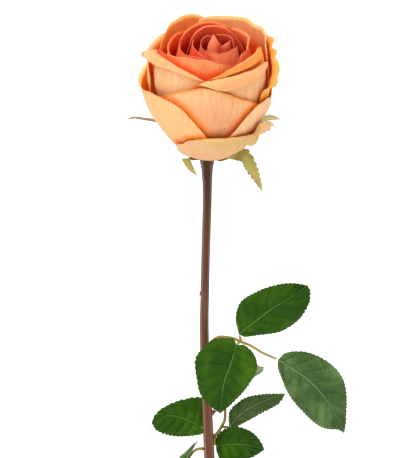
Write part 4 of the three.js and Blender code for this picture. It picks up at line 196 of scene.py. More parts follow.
# rows from base to tip: midrib x, y, z, left edge x, y, z, right edge x, y, z; then the bow
BLADES = {
    "leaf_1_leaflet_upper": ([
        (11.146, -20, 282.017, 11.146, -20, 282.017, 11.146, -20, 282.017),
        (13.966, -21.12, 284.685, 9.96, -22.145, 287.204, 15.054, -20.193, 280.332),
        (16.779, -22.226, 287.343, 9.094, -24.239, 292.416, 19.535, -20.621, 280.52),
        (19.593, -23.024, 289.895, 9.669, -25.817, 297.468, 24.008, -20.799, 280.902),
        (22.379, -23.579, 292.402, 11.21, -26.947, 302.124, 28.454, -20.78, 281.511),
        (25.159, -23.964, 294.858, 14.137, -27.487, 305.598, 32.867, -20.632, 282.304),
        (27.993, -24.086, 297.163, 17.879, -27.476, 307.994, 37.161, -20.358, 283.565),
        (30.922, -23.878, 299.236, 21.759, -27.11, 310.043, 41.19, -19.988, 285.501),
        (33.95, -23.41, 301.088, 25.757, -26.48, 311.779, 44.937, -19.556, 287.932),
        (37.022, -22.745, 302.817, 29.907, -25.596, 313.083, 48.242, -19.113, 290.942),
        (40.099, -21.885, 304.494, 34.167, -24.445, 314.006, 50.69, -18.713, 294.717),
        (43.134, -20.762, 306.182, 38.519, -22.931, 314.532, 52.468, -18.172, 298.839),
        (46.109, -19.129, 307.848, 43, -20.712, 314.172, 53.952, -17.156, 302.945),
        (49.052, -17.059, 309.47, 47.528, -17.9, 312.951, 53.996, -15.956, 307.21),
        (52.002, -15, 311.099, 52.002, -15, 311.099, 52.002, -15, 311.099),
    ], 0.12),
    "leaf_1_leaflet_middle": ([
        (9.686, -19, 275.093, 9.686, -19, 275.093, 9.686, -19, 275.093),
        (8.809, -20.009, 272.386, 13.793, -19.458, 275.343, 7.946, -20.391, 279.473),
        (7.937, -21.05, 269.689, 17.364, -19.934, 273.297, 2.852, -22.128, 280.294),
        (7.057, -22.038, 266.978, 20.274, -20.417, 270.363, -2.215, -23.79, 280.395),
        (6.157, -22.889, 264.23, 22.106, -20.888, 266.599, -6.695, -25.175, 278.531),
        (5.169, -23.601, 261.466, 22.954, -21.34, 262.526, -10.068, -26.196, 274.889),
        (4.082, -24.227, 258.711, 22.063, -21.89, 258.496, -13.463, -27.086, 271.232),
        (3.062, -24.69, 255.875, 20.13, -22.399, 254.791, -14.85, -27.482, 266.3),
        (2.239, -24.954, 252.902, 18.017, -22.772, 251.143, -14.563, -27.481, 260.984),
        (1.656, -25.017, 249.795, 15.639, -23.053, 247.642, -13.872, -27.284, 255.607),
        (1.239, -24.908, 246.595, 12.853, -23.268, 244.456, -13.076, -26.953, 250.186),
        (0.91, -24.704, 243.344, 9.819, -23.445, 241.507, -11.449, -26.444, 244.93),
        (0.62, -24.459, 240.069, 6.686, -23.6, 238.658, -8.22, -25.693, 240.512),
        (0.332, -24.211, 236.788, 3.396, -23.776, 236.015, -4.353, -24.859, 236.678),
        (0.008, -24, 233.519, 0.008, -24, 233.519, 0.008, -24, 233.519),
    ], 0.12),
    "leaf_1_leaflet_right": ([
        (34.542, -22, 266.884, 34.542, -22, 266.884, 34.542, -22, 266.884),
        (38.122, -23.888, 265.065, 38.45, -24.821, 271.694, 34.16, -23.179, 262.52),
        (41.692, -25.753, 263.236, 43.829, -27.362, 273.626, 35.339, -24.482, 258.212),
        (45.209, -27.329, 261.221, 49.303, -29.446, 274.019, 36.762, -25.546, 253.895),
        (48.736, -28.681, 259.141, 54.599, -31.097, 272.95, 38.527, -26.422, 249.643),
        (52.139, -29.666, 256.736, 59.598, -32.255, 270.81, 40.761, -27.024, 245.522),
        (55.287, -30.2, 253.825, 64.294, -32.937, 267.871, 43.378, -27.344, 241.533),
        (58.295, -30.521, 250.67, 68.541, -33.331, 264.171, 46.322, -27.584, 237.762),
        (61.145, -30.541, 247.234, 71.958, -33.268, 259.455, 49.627, -27.666, 234.261),
        (63.798, -30.161, 243.46, 74.188, -32.621, 253.784, 53.174, -27.479, 230.911),
        (66.215, -29.319, 239.314, 75.234, -31.366, 247.508, 56.869, -26.938, 227.583),
        (68.434, -28.119, 234.881, 75.796, -29.73, 241.005, 61.013, -26.203, 224.893),
        (70.561, -26.75, 230.31, 75.934, -27.891, 234.39, 65.67, -25.503, 223.798),
        (72.67, -25.34, 225.692, 75.664, -25.956, 227.728, 70.396, -24.801, 223.197),
        (74.83, -24, 221.11, 74.83, -24, 221.11, 74.83, -24, 221.11),
    ], 0.12),
    "leaf_2_leaflet_tip": ([
        (3.406, 9, 228.99, 3.406, 9, 228.99, 3.406, 9, 228.99),
        (4.855, 9.698, 230.668, 2.212, 10.144, 231.415, 5.761, 9.39, 228.929),
        (6.292, 10.413, 232.349, 1.291, 11.276, 233.946, 7.792, 9.963, 230.029),
        (7.743, 11.108, 234.028, 1.578, 12.239, 236.678, 9.669, 10.561, 231.367),
        (9.231, 11.746, 235.695, 2.628, 13.032, 239.291, 11.49, 11.124, 232.793),
        (10.759, 12.308, 237.352, 4.157, 13.675, 241.708, 13.264, 11.634, 234.293),
        (12.282, 12.836, 239.027, 6.067, 14.205, 243.874, 14.98, 12.125, 235.866),
        (13.838, 13.312, 240.687, 8.208, 14.637, 245.84, 16.565, 12.599, 237.577),
        (15.474, 13.706, 242.296, 10.53, 14.965, 247.617, 18.039, 13.035, 239.399),
        (17.226, 13.988, 243.809, 12.967, 15.187, 249.258, 19.494, 13.397, 241.26),
        (19.112, 14.127, 245.188, 15.62, 15.232, 250.536, 21.057, 13.633, 243.067),
        (21.093, 14.144, 246.455, 18.496, 15.063, 251.096, 22.893, 13.711, 244.623),
        (23.118, 14.096, 247.66, 21.407, 14.732, 250.919, 24.881, 13.693, 245.992),
        (25.152, 14.032, 248.849, 24.282, 14.351, 250.471, 26.506, 13.751, 247.754),
        (27.164, 14, 250.067, 27.164, 14, 250.067, 27.164, 14, 250.067),
    ], 0.12),
    "leaf_2_leaflet_left": ([
        (-10.806, 8.5, 211.937, -10.806, 8.5, 211.937, -10.806, 8.5, 211.937),
        (-12.952, 8.605, 213.112, -10.089, 8.81, 208.943, -10.27, 8.229, 216.168),
        (-15.074, 8.717, 214.329, -12.106, 9.166, 207.068, -9.732, 7.968, 220.386),
        (-17.205, 8.827, 215.529, -14.878, 9.474, 206.362, -9.586, 7.726, 224.62),
        (-19.376, 8.924, 216.649, -17.685, 9.763, 205.872, -10.365, 7.527, 228.743),
        (-21.618, 8.997, 217.612, -20.504, 10.007, 205.514, -12.704, 7.435, 231.942),
        (-23.919, 9.048, 218.418, -23.332, 10.19, 205.292, -16.585, 7.649, 231.703),
        (-26.252, 9.085, 219.118, -26.161, 10.324, 205.314, -20.461, 7.872, 231.013),
        (-28.629, 9.095, 219.637, -28.963, 10.377, 205.69, -24.296, 8.07, 230.08),
        (-31.046, 9.056, 219.874, -31.714, 10.305, 206.397, -28.05, 8.223, 228.825),
        (-33.46, 8.945, 219.689, -34.408, 10.048, 207.373, -31.664, 8.295, 227.176),
        (-35.769, 8.748, 218.974, -37.019, 9.597, 208.645, -35.123, 8.228, 225.231),
        (-37.96, 8.504, 217.95, -39.435, 9.072, 210.342, -38.288, 8.081, 222.827),
        (-40.104, 8.245, 216.831, -41.086, 8.528, 212.919, -40.759, 7.981, 219.648),
        (-42.291, 8, 215.798, -42.291, 8, 215.798, -42.291, 8, 215.798),
    ], 0.12),
    "leaf_2_leaflet_right_upper": ([
        (5.629, 11, 212.133, 5.629, 11, 212.133, 5.629, 11, 212.133),
        (7.639, 11.492, 214.242, 5.464, 12.603, 215.175, 8.6, 10.415, 212),
        (9.599, 12.017, 216.388, 5.343, 14.193, 218.227, 11.437, 10.261, 213.057),
        (11.616, 12.504, 218.491, 6.085, 15.433, 221.294, 14.115, 10.249, 214.498),
        (13.785, 12.884, 220.466, 8.286, 15.944, 223.863, 16.754, 10.245, 216.011),
        (16.159, 13.114, 222.229, 10.911, 16.198, 226.102, 19.401, 10.252, 217.501),
        (18.674, 13.26, 223.796, 13.692, 16.4, 228.139, 22.036, 10.33, 218.99),
        (21.274, 13.315, 225.234, 16.795, 16.328, 229.671, 24.661, 10.417, 220.491),
        (23.924, 13.258, 226.598, 20.09, 15.965, 230.737, 27.284, 10.447, 222.01),
        (26.6, 13.062, 227.941, 23.445, 15.375, 231.57, 29.955, 10.32, 223.477),
        (29.301, 12.675, 229.271, 26.819, 14.552, 232.29, 32.633, 10.036, 224.97),
        (32.043, 12.095, 230.534, 30.2, 13.523, 232.883, 35.206, 9.717, 226.667),
        (34.805, 11.402, 231.755, 33.58, 12.361, 233.345, 37.391, 9.586, 228.839),
        (37.569, 10.677, 232.962, 36.952, 11.159, 233.759, 38.921, 9.75, 231.487),
        (40.32, 10, 234.186, 40.32, 10, 234.186, 40.32, 10, 234.186),
    ], 0.12),
    "leaf_2_leaflet_right_lower": ([
        (-2.444, 6, 200.891, -2.444, 6, 200.891, -2.444, 6, 200.891),
        (-0.29, 5.764, 201.287, -2.821, 5.337, 204.441, -2.264, 6.162, 197.696),
        (1.86, 5.512, 201.718, -1.838, 4.709, 207.791, -1.397, 6.31, 194.622),
        (4.011, 5.274, 202.118, 0.123, 4.191, 210.542, -0.199, 6.474, 191.675),
        (6.171, 5.081, 202.418, 2.641, 3.802, 212.623, 1.83, 6.631, 189.33),
        (8.34, 4.956, 202.56, 5.497, 3.544, 214.016, 4.356, 6.763, 187.623),
        (10.512, 4.86, 202.593, 8.555, 3.394, 214.593, 7.195, 6.8, 186.725),
        (12.682, 4.81, 202.52, 11.635, 3.399, 214.109, 10.115, 6.694, 187.182),
        (14.849, 4.836, 202.326, 14.639, 3.515, 213.168, 12.865, 6.549, 188.406),
        (17.009, 4.967, 201.995, 17.565, 3.753, 211.911, 15.539, 6.467, 189.792),
        (19.157, 5.235, 201.494, 20.314, 4.162, 210.17, 18.169, 6.489, 191.23),
        (21.286, 5.625, 200.826, 22.747, 4.742, 207.85, 20.691, 6.59, 192.841),
        (23.404, 6.081, 200.065, 24.851, 5.435, 205.108, 23.127, 6.739, 194.573),
        (25.52, 6.555, 199.279, 26.376, 6.217, 201.895, 25.411, 6.885, 196.517),
        (27.645, 7, 198.533, 27.645, 7, 198.533, 27.645, 7, 198.533),
    ], 0.12),
    "leaf_3_leaflet_side": ([
        (-22.03, 9.5, 188.638, -22.03, 9.5, 188.638, -22.03, 9.5, 188.638),
        (-21.541, 9.45, 189.798, -23.222, 9.964, 189.436, -21.139, 9.279, 189.551),
        (-21.061, 9.397, 190.964, -24.438, 10.424, 190.204, -20.382, 9.113, 190.578),
        (-20.57, 9.348, 192.122, -25.416, 10.834, 191.238, -19.779, 9.019, 191.695),
        (-20.048, 9.31, 193.26, -24.852, 10.794, 192.636, -19.225, 8.968, 192.824),
        (-19.486, 9.288, 194.368, -23.666, 10.537, 193.724, -18.688, 8.956, 193.946),
        (-18.896, 9.277, 195.455, -22.509, 10.327, 194.829, -18.171, 8.974, 195.067),
        (-18.283, 9.276, 196.522, -21.435, 10.182, 196.006, -17.687, 9.024, 196.191),
        (-17.649, 9.283, 197.572, -20.355, 10.057, 197.167, -17.176, 9.081, 197.299),
        (-16.996, 9.299, 198.606, -19.278, 9.953, 198.323, -16.633, 9.142, 198.388),
        (-16.32, 9.327, 199.617, -18.214, 9.879, 199.478, -16.075, 9.219, 199.461),
        (-15.62, 9.365, 200.605, -17.121, 9.819, 200.596, -15.49, 9.307, 200.515),
        (-14.908, 9.41, 201.58, -15.954, 9.737, 201.63, -14.856, 9.386, 201.539),
        (-14.193, 9.457, 202.551, -14.722, 9.624, 202.583, -14.172, 9.447, 202.535),
        (-13.484, 9.5, 203.529, -13.484, 9.5, 203.529, -13.484, 9.5, 203.529),
    ], 0.12),
    "leaf_3_leaflet_tip": ([
        (-24.264, 12.5, 182.815, -24.264, 12.5, 182.815, -24.264, 12.5, 182.815),
        (-25.708, 12.654, 181.753, -24.058, 12.802, 180.606, -25.228, 12.458, 185.113),
        (-27.159, 12.825, 180.694, -24.142, 13.108, 178.393, -26.811, 12.443, 186.854),
        (-28.596, 12.955, 179.627, -24.905, 13.333, 176.358, -29.132, 12.45, 187.186),
        (-30.002, 13, 178.544, -25.915, 13.449, 174.494, -31.47, 12.405, 186.966),
        (-31.38, 13.015, 177.433, -27.117, 13.511, 172.789, -33.685, 12.366, 186.156),
        (-32.74, 13.008, 176.304, -28.516, 13.525, 171.285, -35.669, 12.344, 184.81),
        (-34.082, 12.92, 175.184, -30.05, 13.439, 169.98, -37.435, 12.268, 183.175),
        (-35.406, 12.704, 174.093, -31.679, 13.208, 168.872, -38.936, 12.091, 181.306),
        (-36.71, 12.321, 173.049, -33.403, 12.792, 168.01, -40.114, 11.776, 179.255),
        (-37.99, 11.769, 172.047, -35.231, 12.183, 167.477, -40.921, 11.319, 177.074),
        (-39.252, 11.112, 171.072, -37.156, 11.437, 167.387, -41.508, 10.771, 174.855),
        (-40.505, 10.4, 170.109, -39.109, 10.62, 167.609, -41.998, 10.174, 172.631),
        (-41.756, 9.682, 169.15, -41.062, 9.79, 167.936, -42.474, 9.57, 170.406),
        (-43.012, 9, 168.182, -43.012, 9, 168.182, -43.012, 9, 168.182),
    ], 0.12),
    "sepal_front_left": ([
        (-10.447, -2.406, 386.962, -11.369, -1.537, 387.254, -9.525, -3.274, 386.669),
        (-13.396, -5.5, 386.854, -14.679, -4.164, 387.274, -12.113, -6.837, 386.434),
        (-16.856, -8.613, 387.127, -18.561, -7.148, 387.616, -15.152, -10.077, 386.638),
        (-20.57, -14.5, 388.798, -18.156, -15.411, 389.117, -22.891, -13.624, 388.49),
        (-18.007, -13, 383.307, -16.587, -12.828, 384.225, -19.427, -13.172, 382.389),
        (-13.604, -11, 377.368, -13.604, -11, 377.368, -13.604, -11, 377.368),
    ], 0.1),
    "sepal_front_right": ([
        (-5.565, -2.296, 386.818, -6.532, -3.275, 386.561, -4.598, -1.317, 387.075),
        (-2.491, -5.256, 386.533, -3.938, -6.865, 386.139, -1.044, -3.646, 386.927),
        (1.489, -8.624, 386.765, 0.065, -11.477, 386.496, 2.913, -5.771, 387.034),
        (13.185, -13.5, 390.979, 14.221, -11.988, 394.646, 12.148, -15.012, 387.311),
        (17.651, -12.5, 383.794, 20.742, -11.983, 385.565, 14.56, -13.017, 382.022),
        (21.264, -11, 376.153, 23.344, -10.789, 377.111, 19.184, -11.211, 375.194),
        (24.977, -9, 367.126, 24.977, -9, 367.126, 24.977, -9, 367.126),
    ], 0.1),
    "sepal_left": ([
        (-11.353, 2.15, 388.475, -10.718, 3.235, 388.805, -11.989, 1.065, 388.146),
        (-20.639, 6.674, 391.496, -19.817, 8.199, 391.985, -21.461, 5.149, 391.007),
        (-29.557, 8.722, 398.591, -28.89, 10.08, 399.111, -30.224, 7.364, 398.071),
        (-36.287, 8.723, 406.203, -36.707, 8.425, 405.465, -35.868, 9.021, 406.942),
        (-46.84, 12, 407.084, -46.924, 11.838, 406.513, -46.755, 12.162, 407.656),
        (-52.177, 11, 407.908, -52.122, 10.867, 407.429, -52.233, 11.133, 408.387),
        (-56.333, 10, 406.537, -56.333, 10, 406.537, -56.333, 10, 406.537),
    ], 0.1),
    "sepal_right": ([
        (-4.649, 2.077, 388.206, -4.02, 0.895, 387.798, -5.277, 3.26, 388.613),
        (4.944, 6.398, 390.467, 5.859, 4.515, 389.791, 4.03, 8.282, 391.143),
        (14.46, 8.124, 397.202, 15.444, 5.906, 396.269, 13.475, 10.343, 398.134),
        (21.458, 7.39, 405.544, 22.38, 5.514, 404.858, 20.536, 9.267, 406.23),
        (30.242, 12, 407.816, 30.516, 11.363, 406.375, 29.967, 12.637, 409.258),
        (36.491, 11, 406.81, 36.491, 11, 406.81, 36.491, 11, 406.81),
    ], 0.1),
    "sepal_back": ([
        (-8.088, 4.03, 388.966, -6.689, 4.062, 388.925, -9.487, 3.999, 389.008),
        (-8.173, 11.688, 391.931, -5.974, 11.738, 391.867, -10.371, 11.639, 391.996),
        (-8.229, 18.924, 395.547, -5.231, 18.992, 395.459, -11.227, 18.857, 395.635),
        (-8.377, 26.136, 396.002, -5.979, 26.19, 395.931, -10.776, 26.082, 396.072),
        (-8.608, 33.231, 393.581, -8.608, 33.231, 393.581, -8.608, 33.231, 393.581),
    ], 0.1),
}
STEM = [
    (-8.071, 0.679, 386.983, 4.5),
    (-8.113, 1.05, 385.842, 4.45),
    (-8.08, 0.85, 384, 4.35),
    (-8.06, 0.8, 381.6, 3.85),
    (-8.03, 0.7, 379, 3.4),
    (-7.95, 0.35, 373.2, 2.98),
    (-7.877, 0, 369.183, 2.8),
    (-7.938, 0, 359.949, 2.65),
    (-8.239, 0, 347.584, 2.6),
    (-8.602, 0, 335.158, 2.55),
    (-9.027, 0, 318.911, 2.55),
    (-9.335, 0, 302.559, 2.6),
    (-9.706, 0, 284.195, 2.7),
    (-9.532, 0, 265.697, 2.8),
    (-8.624, 0, 239.961, 2.95),
    (-7.952, 0, 227.645, 3.05),
    (-7.277, 0, 210.695, 3.2),
    (-6.659, 0, 196.923, 3.25),
    (-6.051, 0, 180, 3.3),
    (-3.898, 0, 120, 3.3),
    (-1.744, 0, 60, 3.3),
    (0.145, 0, 7.4, 3.3),
]
STALKS = {
    "leaf_1_petiole": dict(red=None, rows=[
        (-5.394, -1.5, 270.407, 1.5),
        (-4.067, -5, 273.518, 1.1),
        (1.213, -12, 277.934, 0.95),
        (7.594, -17.5, 278.825, 0.9),
        (12.068, -19.5, 277.396, 0.9),
        (17.21, -20.5, 275.582, 0.8),
        (26.021, -21.5, 270.624, 0.75),
        (33.699, -22, 267.325, 0.65),
    ], branches=[
        [
            (12.488, -19.5, 277.207, 0.85),
            (12.117, -19.8, 279.127, 0.75),
            (11.448, -20, 281.139, 0.6),
        ],
        [
            (11.89, -19.4, 277.426, 0.85),
            (10.935, -19.4, 276.482, 0.75),
            (10.043, -19.1, 275.567, 0.6),
        ],
    ]),
    "leaf_2_petiole": dict(red=(14, 20), rows=[
        (-3.696, 3, 208.594, 1.4),
        (-2.08, 6, 209.117, 1.1),
        (0.657, 9.5, 212.094, 1),
        (3.127, 10, 218.153, 0.9),
        (3.347, 9, 228.076, 0.65),
    ], branches=[
        [
            (-3.448, 3.6, 208.566, 0.9),
            (-6.781, 8, 209.031, 0.8),
            (-10.002, 8.7, 211.863, 0.6),
        ],
        [
            (1.028, 9.5, 212.686, 0.85),
            (3.143, 10.4, 212.091, 0.75),
            (5.132, 10.9, 212.039, 0.6),
        ],
        [
            (-2.703, 4.6, 208.719, 0.9),
            (-3.314, 6, 205.172, 0.8),
            (-3.064, 6.1, 201.842, 0.6),
        ],
    ]),
    "leaf_3_petiole": dict(red=None, rows=[
        (-10.306, 3, 200.514, 1.1),
        (-12.672, 7, 199.061, 0.9),
        (-15.172, 10, 196.995, 0.85),
        (-16.992, 11.8, 194.653, 0.8),
        (-19.498, 12.4, 190.507, 0.75),
        (-23.636, 12.5, 183.814, 0.65),
    ], branches=[
        [
            (-19.498, 12.4, 190.507, 0.7),
            (-20.801, 11.3, 189.27, 0.6),
            (-21.724, 9.9, 188.217, 0.5),
        ],
    ]),
}
VASE = [(0, 0), (28.5, 0), (30.6, 0.6), (31.8, 2.2), (33.6, 8), (36.4, 21), (37.8, 37), (37.3, 54), (34.8, 71),
        (30.2, 88), (24.4, 104), (19.2, 119), (15.4, 133), (13.4, 146), (13, 157), (13.9, 167), (15.9, 175),
        (17.2, 178.6), (17, 179.7), (16.2, 180), (15.2, 179.4), (13.4, 176), (11.2, 168), (10, 157),
        (10.4, 146), (12.4, 133), (16.2, 119), (21.4, 104), (27.2, 88), (31.8, 71), (34.3, 54), (34.8, 37),
        (33.4, 21), (30.6, 10.5), (27.5, 7.6), (24, 7), (0, 7)]


# ------------------------------------------------------------------ small maths
def herm(P, kn, x):
    """Monotone cubic through rows P at knots kn, at the places x."""
    P = np.asarray(P, float)
    m = len(P)
    x = np.atleast_1d(np.asarray(x, float))
    dk = np.diff(kn)[:, None]
    dl = np.diff(P, axis=0) / dk
    T = np.zeros_like(P)
    T[0], T[-1] = dl[0], dl[-1]
    for j in range(1, m - 1):
        a, b = dl[j - 1], dl[j]
        s = a + b
        T[j] = np.where(a * b > 0, 2 * a * b / np.where(np.abs(s) < 1e-12, 1, s), 0)
    k = np.clip(np.searchsorted(kn, x, side="right") - 1, 0, m - 2)
    h = (kn[k + 1] - kn[k])[:, None]
    s = ((x - kn[k])[:, None]) / h
    return ((2 * s**3 - 3 * s * s + 1) * P[k] + (s**3 - 2 * s * s + s) * h * T[k]
            + (-2 * s**3 + 3 * s * s) * P[k + 1] + (s**3 - s * s) * h * T[k + 1])


def sm(x):
    x = np.clip(x, 0, 1)
    return x * x * (3 - 2 * x)


def lattice(seed, n=64):
    return np.random.RandomState(seed).rand(n, n)


def noise2(x, y, seed):
    """Smooth value noise in 0..1, the same each run."""
    g = lattice(seed)
    x, y = np.broadcast_arrays(np.asarray(x, float), np.asarray(y, float))
    xi, yi = np.floor(x).astype(int), np.floor(y).astype(int)
    fx, fy = x - xi, y - yi
    fx, fy = fx * fx * (3 - 2 * fx), fy * fy * (3 - 2 * fy)
    a, b = g[xi % 64, yi % 64], g[(xi + 1) % 64, yi % 64]
    c, d = g[xi % 64, (yi + 1) % 64], g[(xi + 1) % 64, (yi + 1) % 64]
    return (a * (1 - fx) + b * fx) * (1 - fy) + (c * (1 - fx) + d * fx) * fy


def lin(rgb):
    out = []
    for v in rgb:
        v = v / 255
        out.append(v / 12.92 if v <= 0.04045 else ((v + 0.055) / 1.055) ** 2.4)
    return (*out, 1.0)


# ------------------------------------------------------------------ cups and petals
def cup(h, d):
    return np.interp(np.maximum(h - 0.8 * d, 0), PROF[:, 0], PROF[:, 1]) - 0.9 * d


def cup_base(d):
    lo, hi = 0.8 * d, 0.8 * d + 20
    for _ in range(40):
        m = (lo + hi) / 2
        if cup(m, d) < BASE_R:
            lo = m
        else:
            hi = m
    return hi


def petal_grid(p, nu, nv, nc, look):
    """Middle surface of a petal: nu columns, nv rows up the body, nc rows over the lip. Also the maps u, v and
    millimetres across, along and to the rim."""
    d, rows, cf = p["d"], np.array(p["rows"], float), p["cf"]
    fade = lambda h: sm((h - p["h0"]) / (p["hC"] - p["h0"]))
    rr = cup(rows[:, 1], d) + rows[:, 2] * fade(rows[:, 1])
    X = np.stack([rr * np.cos(np.radians(rows[:, 0])), rr * np.sin(np.radians(rows[:, 0])), rows[:, 1]], 1)
    seg = np.linalg.norm(np.diff(X, axis=0), axis=1)
    kn = np.concatenate([[0], np.cumsum(np.maximum(seg, 1.0))])
    us = np.linspace(0, 1, nu)
    U = herm(rows, kn, us * kn[-1])
    width = kn[-1]
    mid = p.get("mid", (rows[0, 0] + rows[-1, 0]) / 2)
    wl, wr = p["w"]
    cx, cy = p["c"]
    hb = cup_base(d)
    seed = look["seed"]
    wave, fray = look.get("wave", 0.35), look.get("fray", 0.18)
    G = np.zeros((nu, nv + nc, 3))
    M = np.zeros((nu, nv + nc, 5))
    s_mm = us * width
    w1 = (noise2(s_mm / look.get("wavelen", 7.5), 0 * s_mm + 3.3, seed) - 0.5) * 2
    w2 = (noise2(s_mm / 2.1, 0 * s_mm + 9.1, seed + 1) - 0.5) * 2
    k1 = (noise2(s_mm / 9.0, 0 * s_mm + 6.3, seed + 2) - 0.5) * 2
    for i in range(nu):
        phi, hc, k, cl, ca = U[i]
        u = us[i]
        lipw = min(cl / 3.0, 1.0)
        dh = wave * w1[i] + fray * w2[i]
        cl = max(cl + (dh * 1.6 if cl > 1.0 else 0), 0)
        hc = hc + dh * (1 - 0.7 * lipw)
        ca = ca + 10 * wave * k1[i] * lipw
        car = math.radians(max(ca, 0))
        rho = cl * cf / car if car > 1e-3 else 0
        hc2 = max(hc - rho * math.sin(min(car, math.pi / 2)) * 0.9, hb + 2.0)
        H = np.linspace(hb, hc2, 81)
        Rr = np.maximum(cup(H, d) + k * fade(H), BASE_R)
        L = np.concatenate([[0], np.cumsum(np.hypot(np.diff(H), np.diff(Rr)))])
        q = np.linspace(0, 1, nv)
        s = L[-1] * (1 - (1 - q) ** 1.15)
        hh, r2 = np.interp(s, L, H), np.interp(s, L, Rr)
        th = math.atan2(H[-1] - H[-5], Rr[-1] - Rr[-5])
        m = nc * 6
        a = th - car * sm((np.arange(m) + 0.5) / m / cf)
        step = max(cl, 0.15) / m
        xs = r2[-1] + np.cumsum(np.cos(a)) * step
        ys = hh[-1] + np.cumsum(np.sin(a)) * step
        r3 = np.concatenate([r2, xs[5::6]])
        h3 = np.concatenate([hh, ys[5::6]])
        lmm = np.concatenate([s, L[-1] + np.arange(1, nc + 1) / nc * max(cl, 0.15)])
        v = np.concatenate([s / L[-1], 1 + np.arange(1, nc + 1) / nc * 0.25])
        side = wl * (1 - u) + wr * u
        ph = np.radians(mid + (phi - mid) * (side + (1 - side) * np.clip(v, 0, 1)))
        sh = sm((h3 - 20) / 50)
        G[i, :, 0] = r3 * np.cos(ph) + cy * sh
        G[i, :, 1] = r3 * np.sin(ph) + cx * sh
        G[i, :, 2] = h3
        M[i, :, 0] = u
        M[i, :, 1] = v
        M[i, :, 2] = s_mm[i]
        M[i, :, 3] = lmm
        M[i, :, 4] = np.minimum(lmm[-1] - lmm, np.minimum(s_mm[i], width - s_mm[i]) + 0.0)
    W = O + G[..., 2:3] * A + G[..., 0:1] * F + G[..., 1:2] * R
    return W, M, width


def grid_normals(W):
    du = np.empty_like(W)
    dv = np.empty_like(W)
    du[1:-1] = W[2:] - W[:-2]
    du[0], du[-1] = W[1] - W[0], W[-1] - W[-2]
    dv[:, 1:-1] = W[:, 2:] - W[:, :-2]
    dv[:, 0], dv[:, -1] = W[:, 1] - W[:, 0], W[:, -1] - W[:, -2]
    n = np.cross(du, dv)
    return n / np.maximum(np.linalg.norm(n, axis=-1, keepdims=True), 1e-9)


def make_mesh(name, verts, faces, attrs=None, uv=None, mats=(), sharp=55, mat_index=None):
    me = bpy.data.meshes.new(name)
    me.from_pydata((np.asarray(verts) / 1000).tolist(), [], faces)
    me.update()
    for key, val in (attrs or {}).items():
        at = me.attributes.new(key, "FLOAT", "POINT")
        at.data.foreach_set("value", np.asarray(val, np.float32).ravel())
    if uv is not None:
        layer = me.uv_layers.new(name="UVMap")
        loops = np.zeros(len(me.loops), np.int32)
        me.loops.foreach_get("vertex_index", loops)
        layer.data.foreach_set("uv", np.asarray(uv, np.float32)[loops].ravel())
    for m in mats:
        me.materials.append(m)
    me.polygons.foreach_set("use_smooth", np.ones(len(me.polygons), bool))
    if mat_index is not None:
        me.polygons.foreach_set("material_index", np.asarray(mat_index, np.int32))
    me.set_sharp_from_angle(angle=math.radians(sharp))
    ob = bpy.data.objects.new(name, me)
    bpy.context.scene.collection.objects.link(ob)
    return ob


def shell(name, W, t, maps, mats, sharp=55):
    """Closed shell round a grid; t is the thickness at each grid point. maps: name -> grid of values."""
    nu, nv, _ = W.shape
    n = grid_normals(W)
    t = np.broadcast_to(np.asarray(t, float), (nu, nv))[..., None]
    verts = np.concatenate([(W + n * t / 2).reshape(-1, 3), (W - n * t / 2).reshape(-1, 3)])
    N = nu * nv
    i, j = np.meshgrid(np.arange(nu - 1), np.arange(nv - 1), indexing="ij")
    a = (i * nv + j).ravel()
    q = np.stack([a, a + nv, a + nv + 1, a + 1], 1)
    faces = q.tolist() + (q[:, ::-1] + N).tolist()
    rim = [(k, 0) for k in range(nu - 1)] + [(nu - 1, k) for k in range(nv - 1)]
    rim += [(k, nv - 1) for k in range(nu - 1, 0, -1)] + [(0, k) for k in range(nv - 1, 0, -1)]
    ids = [x * nv + y for x, y in rim]
    for k in range(len(ids)):
        p, r = ids[k], ids[(k + 1) % len(ids)]
        faces.append([p, p + N, r + N, r])
    attrs = {key: np.concatenate([val.ravel(), val.ravel()]) for key, val in maps.items()}
    attrs["inner"] = np.concatenate([np.zeros(N), np.ones(N)])
    uu, vv = np.meshgrid(np.linspace(0, 1, nu), np.linspace(0, 1, nv), indexing="ij")
    uv = np.concatenate([np.stack([uu.ravel() * 0.49, vv.ravel()], 1), np.stack([1 - uu.ravel() * 0.49, vv.ravel()], 1)])
    return make_mesh(name, verts, faces, attrs, uv, mats, sharp)


